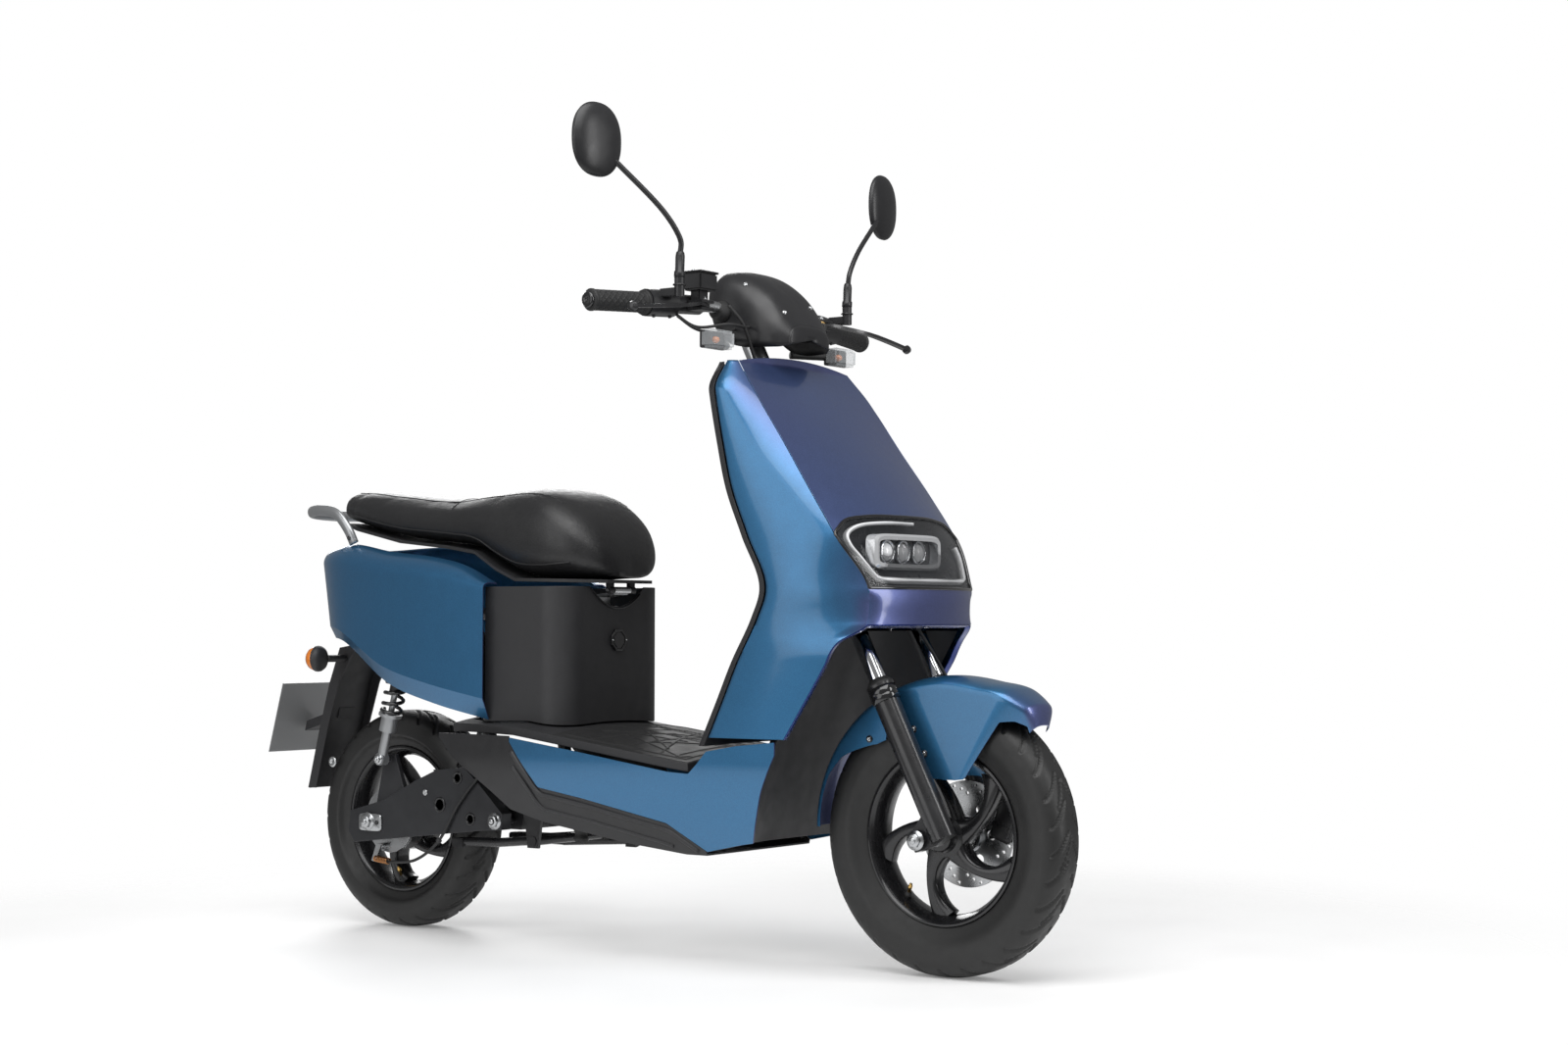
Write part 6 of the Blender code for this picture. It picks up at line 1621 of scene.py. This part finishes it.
# %% Cover over the bar
COVER = np.array([(0.795, 0.078, 1.150, 1.196), (0.815, 0.088, 1.110, 1.210), (0.845, 0.092, 1.080, 1.208),
                  (0.880, 0.090, 1.068, 1.194), (0.915, 0.084, 1.066, 1.166), (0.940, 0.074, 1.066, 1.134),
                  (0.958, 0.058, 1.070, 1.106)])
COVER_FRONT = COVER[-1, 0]


def cover_grid(depth):
    """Arches from side to side at each station; width by cos to the power 0.6, height by sin to 0.6."""
    x = np.linspace(COVER[0, 0], COVER_FRONT, 80)
    half, base, crown = (smooth(x, list(zip(COVER[:, 0], COVER[:, k]))) for k in (1, 2, 3))
    c, s = squared(np.linspace(0, np.pi, 90), 0.6)
    y = (half[:, None] - depth) * c
    z = base[:, None] + (crown[:, None] - depth - base[:, None]) * np.abs(s)
    return np.stack([np.broadcast_to(x[:, None], y.shape), y, z], axis=2)


hood_outer, hood_inner = cover_grid(0.0), cover_grid(0.0028)
hood = wall(hood_outer, hood_inner, "hood")
front_arch = hood_outer[-1]
front_fill = [front_arch]
centre = np.array([COVER_FRONT, 0.0, 1.082])
for share, ahead in ((0.92, 0.0016), (0.70, 0.0030), (0.40, 0.0036), (0.02, 0.0038)):
    ring = centre + (front_arch - centre) * share
    ring[:, 0] = COVER_FRONT + ahead
    front_fill.append(ring)
front_outer = np.array(front_fill)
front_inner = front_outer - np.array([0.0026, 0.0, 0.0])
hood_front = wall(front_outer, front_inner, "hood_front")
cover_piece = gather("cockpit_cover_skin", [hood, hood_front])
hood_tree = ray_tree(cover_piece)
dress(cover_piece, "steering", satin, ("cockpit_cover",))
for x, y in ((0.940, -0.050), (0.930, 0.040), (0.870, -0.070), (0.870, 0.070)):
    hit = hood_tree.ray_cast(Vector((x + SHIFT, y, 1.30)), Vector((0, 0, -1)))
    screw("steering", (hit[0].x - SHIFT, hit[0].y, hit[0].z - 0.0006), tuple(hit[1]), 0.0045)
for side in SIDE_WORD:
    boot = turned(f"bar_boot_{SIDE_WORD[side]}", [(0.0108, -0.010), (0.0180, -0.010), (0.0200, -0.004),
                                                  (0.0185, 0.002), (0.0150, 0.010), (0.0130, 0.014),
                           (0.0108, 0.014)], (0.834, side * 0.097, 1.1315), (-0.03, side, 0.05), 40)
    dress(boot, "steering", rubber)
softened("dash_display", "dash_display_glass", 0.0010, screen)
print("bar and cover made")

# %% Controls
for word in ("right", "left"):
    softened(f"{word}_controls", f"{word}_controls_case", 0.0022, satin, 3, 40)
    softened(f"brake_lever_{word}", f"brake_lever_{word}_blade", 0.0016, black_metal, 3, 40)
softened("start_button", "start_button_cap", 0.0006, red)
softened("horn_button", "horn_button_cap", 0.0006, silver)


def block(name, centre, size, width):
    """A box whose edges are rounded by a width."""
    corners = [(-1, -1, -1), (1, -1, -1), (1, 1, -1), (-1, 1, -1), (-1, -1, 1), (1, -1, 1), (1, 1, 1),
               (-1, 1, 1)]
    verts = np.asarray(centre) + np.array(corners) * np.asarray(size) / 2
    faces = [(0, 3, 2, 1), (4, 5, 6, 7), (0, 1, 5, 4), (1, 2, 6, 5), (2, 3, 7, 6), (3, 0, 4, 7)]
    return crisp(outward(add_mesh(name, verts, faces)), width, 3, 30)


for side, word in SIDES:
    for index, (y, lift, wide) in enumerate(((0.252, 0.004, 0.016), (0.225, 0.008, 0.013))):
        place = bar_point(side * y) + np.array([-0.0232, 0.0, lift])
        piece = block(f"switch_{word}_{index}", place, (0.0060, wide, 0.0085), 0.0010)
        dress(piece, "steering", gloss)
    for y in (0.222, 0.258):
        screw("steering", bar_point(side * y) + np.array([0.006, 0.0, -0.0228]), (0.25, 0, -1), 0.0030,
              "black")
tank_at = bar_point(-0.175) + np.array([0.028, 0.0, 0.036])
lid = block("reservoir_lid", tank_at + np.array([0.0, 0.0, 0.0165]), (0.0425, 0.0505, 0.0040), 0.0014)
dress(lid, "steering", gloss)
for y in (-0.019, 0.019):
    screw("steering", tank_at + np.array([0.0, y, 0.0180]), (0, 0, 1), 0.0034)
for side in SIDE_WORD:
    pivot = bar_point(side * 0.175) + np.array([0.034, side * -0.004, -0.004])
    nut("steering", pivot + np.array([0.0, 0.0, 0.0090]), (0, 0, 1), 0.0050, 0.0040)

# %% [markdown]
# ## Mirrors
# Each head is an oval shell with a slightly proud rim and a silvered face that looks back at the rider. The
# stem is a slim round tube with a clamp nut where it meets its boss.

# %% Mirrors
MIRROR_WIDE, MIRROR_TALL, MIRROR_DEEP = 0.0520, 0.0620, 0.0160
MIRROR_TILT = 8  # degrees


def mirror_shell(centre, side):
    """Depth profile turned into an oval: (y, z) = r * (MIRROR_WIDE, MIRROR_TALL) and x = MIRROR_DEEP times
    the height; then the head is turned by MIRROR_TILT about the upright."""
    cols = 96
    profile = [(0.0, -0.12), (0.900, -0.12), (0.925, -0.25), (0.955, -0.25), (0.985, -0.18)]
    profile += [(math.cos(b) ** 0.9, math.sin(b)) for b in np.linspace(np.pi / 2, 0, 26)[::-1]]
    c, s = squared(full_turn(cols), 0.88)
    tilt = math.radians(MIRROR_TILT * side)

    def oval(rings):
        """The grid of points of some (radius, height) rings, turned about the upright."""
        rings = np.array(rings)
        x = np.broadcast_to(rings[:, 1:2] * MIRROR_DEEP, (len(rings), cols))
        y, z = rings[:, 0:1] * MIRROR_WIDE * c, rings[:, 0:1] * MIRROR_TALL * s
        return np.stack([centre[0] + x * math.cos(tilt) - y * math.sin(tilt),
                         centre[1] + x * math.sin(tilt) + y * math.cos(tilt), centre[2] + z], axis=2)

    head = outward(add_mesh("head", oval(profile).reshape(-1, 3),
                            grid_faces(len(profile), cols, wrap_cols=True)))
    back = oval([(0.0, -0.14), (0.45, -0.14), (0.899, -0.14)])
    front = back + np.array([0.0006, 0.0, 0.0])
    glass = np.concatenate([back, front[::-1]])
    pane = outward(add_mesh(f"mirror_glass_{SIDE_WORD[side]}", glass.reshape(-1, 3),
                            grid_faces(6, cols, wrap_cols=True)))
    return head, pane


for side, word in SIDES:
    head, pane = mirror_shell((0.826, side * 0.415, 1.385), side)
    collar = turned("collar", [(0, 0), (0.0085, 0), (0.0095, 0.001), (0.0095, 0.010), (0.0080, 0.0115),
                               (0.0080, 0.036), (0.0070, 0.042),
                               (0.0050, 0.045), (0, 0.045)], (0.864, side * 0.245, 1.1725), (0.04, 0, 1), 40)
    stem = tube("stem", [(0.866, side * 0.245, 1.2125), (0.868, side * 0.250, 1.240),
                         (0.860, side * 0.290, 1.285),
                         (0.840, side * 0.370, 1.345), (0.832, side * 0.392, 1.362)], 0.0047, 20, 90)
    body = f"{word}_mirror"
    dress(gather(f"mirror_{word}_shell", [head, collar, stem]), body, satin,
          (f"mirror_{word}",))
    dress(pane, body, mirror_face)
    nut("steering", (0.864, side * 0.245, 1.1600), (0, 0, 1), 0.0078, 0.0110, "black")

# %% Front indicators
for side, word in SIDES:
    softened(f"front_indicator_{word}", f"front_indicator_{word}_lens", 0.0065, milky, 4, 40)
    bulb = turned(f"front_indicator_{word}_bulb", [(0, 0), (0.0060, 0), (0.0060, 0.006), (0.0040, 0.011),
                                                   (0, 0.0125)], (0.886, side * 0.180, 1.071), (1, 0, 0), 24)
    dress(bulb, "steering", amber)
    back_shell = block(f"front_indicator_{word}_case", (0.8835, side * 0.180, 1.071),
                       (0.0090, 0.0610, 0.0310), 0.0030)
    dress(back_shell, "steering", satin)
    stalk = tube(f"front_indicator_{word}_stalk", [(0.884, side * 0.158, 1.071), (0.864, side * 0.125, 1.071),
                                                   (0.846, side * 0.094, 1.071)],
                 0.0068, 20, 30)
    dress(stalk, "steering", rubber)
print("controls, mirrors and indicators made")

# %% [markdown]
# ## Cables, stands and key
# Hoses and cables are round sections carried along smooth paths through the same points the engineering
# model uses. The brake hose runs between the steering head and the sliding fork leg.

# %% Cables
HOSE = [(0.888, -0.140, 1.134), (0.905, -0.120, 1.100), (0.905, -0.085, 1.040), (0.930, -0.060, 0.960),
        (0.990, -0.055, 0.860),
        (1.040, -0.055, 0.760), (1.090, -0.052, 0.690), (1.158, -0.030, 0.640), (1.175, 0.020, 0.575),
        (1.178, 0.064, 0.530),
        (1.212, 0.0750, 0.470)]
CABLE = [(0.368, -0.132, 0.316), (0.338, -0.129, 0.330), (0.300, -0.1235, 0.312), (0.240, -0.1225, 0.252),
         (0.190, -0.1225, 0.182), (0.120, -0.112, 0.142), (0.040, -0.094, 0.132), (-0.0160, -0.0850, 0.1310)]
hose = tube("front_brake_hose_line", HOSE, 0.0030, 14, 200)
hose.data.materials.append(rubber)
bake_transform(hose)
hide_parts("front_brake_hose")
COVERED.add("front_brake_hose")
dress(tube("rear_brake_cable_line", CABLE, 0.0028, 14, 180), "rear_arm", rubber,
      ("rear_brake_cable",))
COCKPIT_LINES = {
    "throttle_wire": [(0.826, -0.212, 1.118), (0.870, -0.205, 1.092), (0.906, -0.165, 1.098),
                      (0.905, -0.115, 1.098), (0.880, -0.070, 1.105)],
    "left_brake_wire": [(0.874, 0.150, 1.134), (0.902, 0.125, 1.120), (0.908, 0.095, 1.096),
                        (0.880, 0.060, 1.090)],
    "switch_wire_right": [(0.836, -0.216, 1.112), (0.858, -0.190, 1.090), (0.872, -0.140, 1.088),
                          (0.862, -0.088, 1.100)],
    "switch_wire_left": [(0.836, 0.216, 1.112), (0.858, 0.190, 1.090), (0.872, 0.140, 1.088),
                         (0.862, 0.088, 1.100)],
}
for name, points in COCKPIT_LINES.items():
    dress(tube(name, points, 0.0026, 12, 100), "steering", rubber)
barrel = turned("cable_adjuster_left", [(0, 0), (0.0042, 0), (0.0046, 0.001), (0.0046, 0.006),
                                        (0.0036, 0.007), (0.0036, 0.012), (0.0050, 0.013),
                           (0.0050, 0.018), (0.0034, 0.020), (0, 0.020)], (0.868, 0.156, 1.135),
                           (0.75, -0.62, -0.30), 32)
dress(barrel, "steering", brass)
for place, way in (((0.300, -0.1235, 0.312), (0.8, 0.06, -0.6)),
                   ((0.190, -0.1225, 0.182), (0.75, 0.12, -0.65))):
    strap = turned(f"cable_strap_{int(place[0] * 1000)}",
                   [(0.0028, -0.004), (0.0043, -0.004), (0.0046, 0.0), (0.0043, 0.004), (0.0028, 0.004)],
                   place, way, 24)
    dress(strap, "rear_arm", matt)

# %% Stands and key
softened("side_stand", "side_stand_leg", 0.0008, black_metal, 3, 40)
softened("centre_stand", "centre_stand_leg", 0.0008, black_metal, 3, 40)
softened("ignition_key", "ignition_key_bow", 0.0006, steel, 3, 40)
print(len(COVERED), "nodes covered, without a new look:", sorted(set(NODES) - COVERED))

# %% Fasteners
by_look = {"steel": (steel, "steel"), "black": (black_metal, "black_metal")}
for (body, look), pieces in LOOSE.items():
    material, slot = by_look[look]
    dress(gather(f"fasteners_{body}_{look}", pieces), body, material)
print(len(LOOSE), "sets of fasteners")
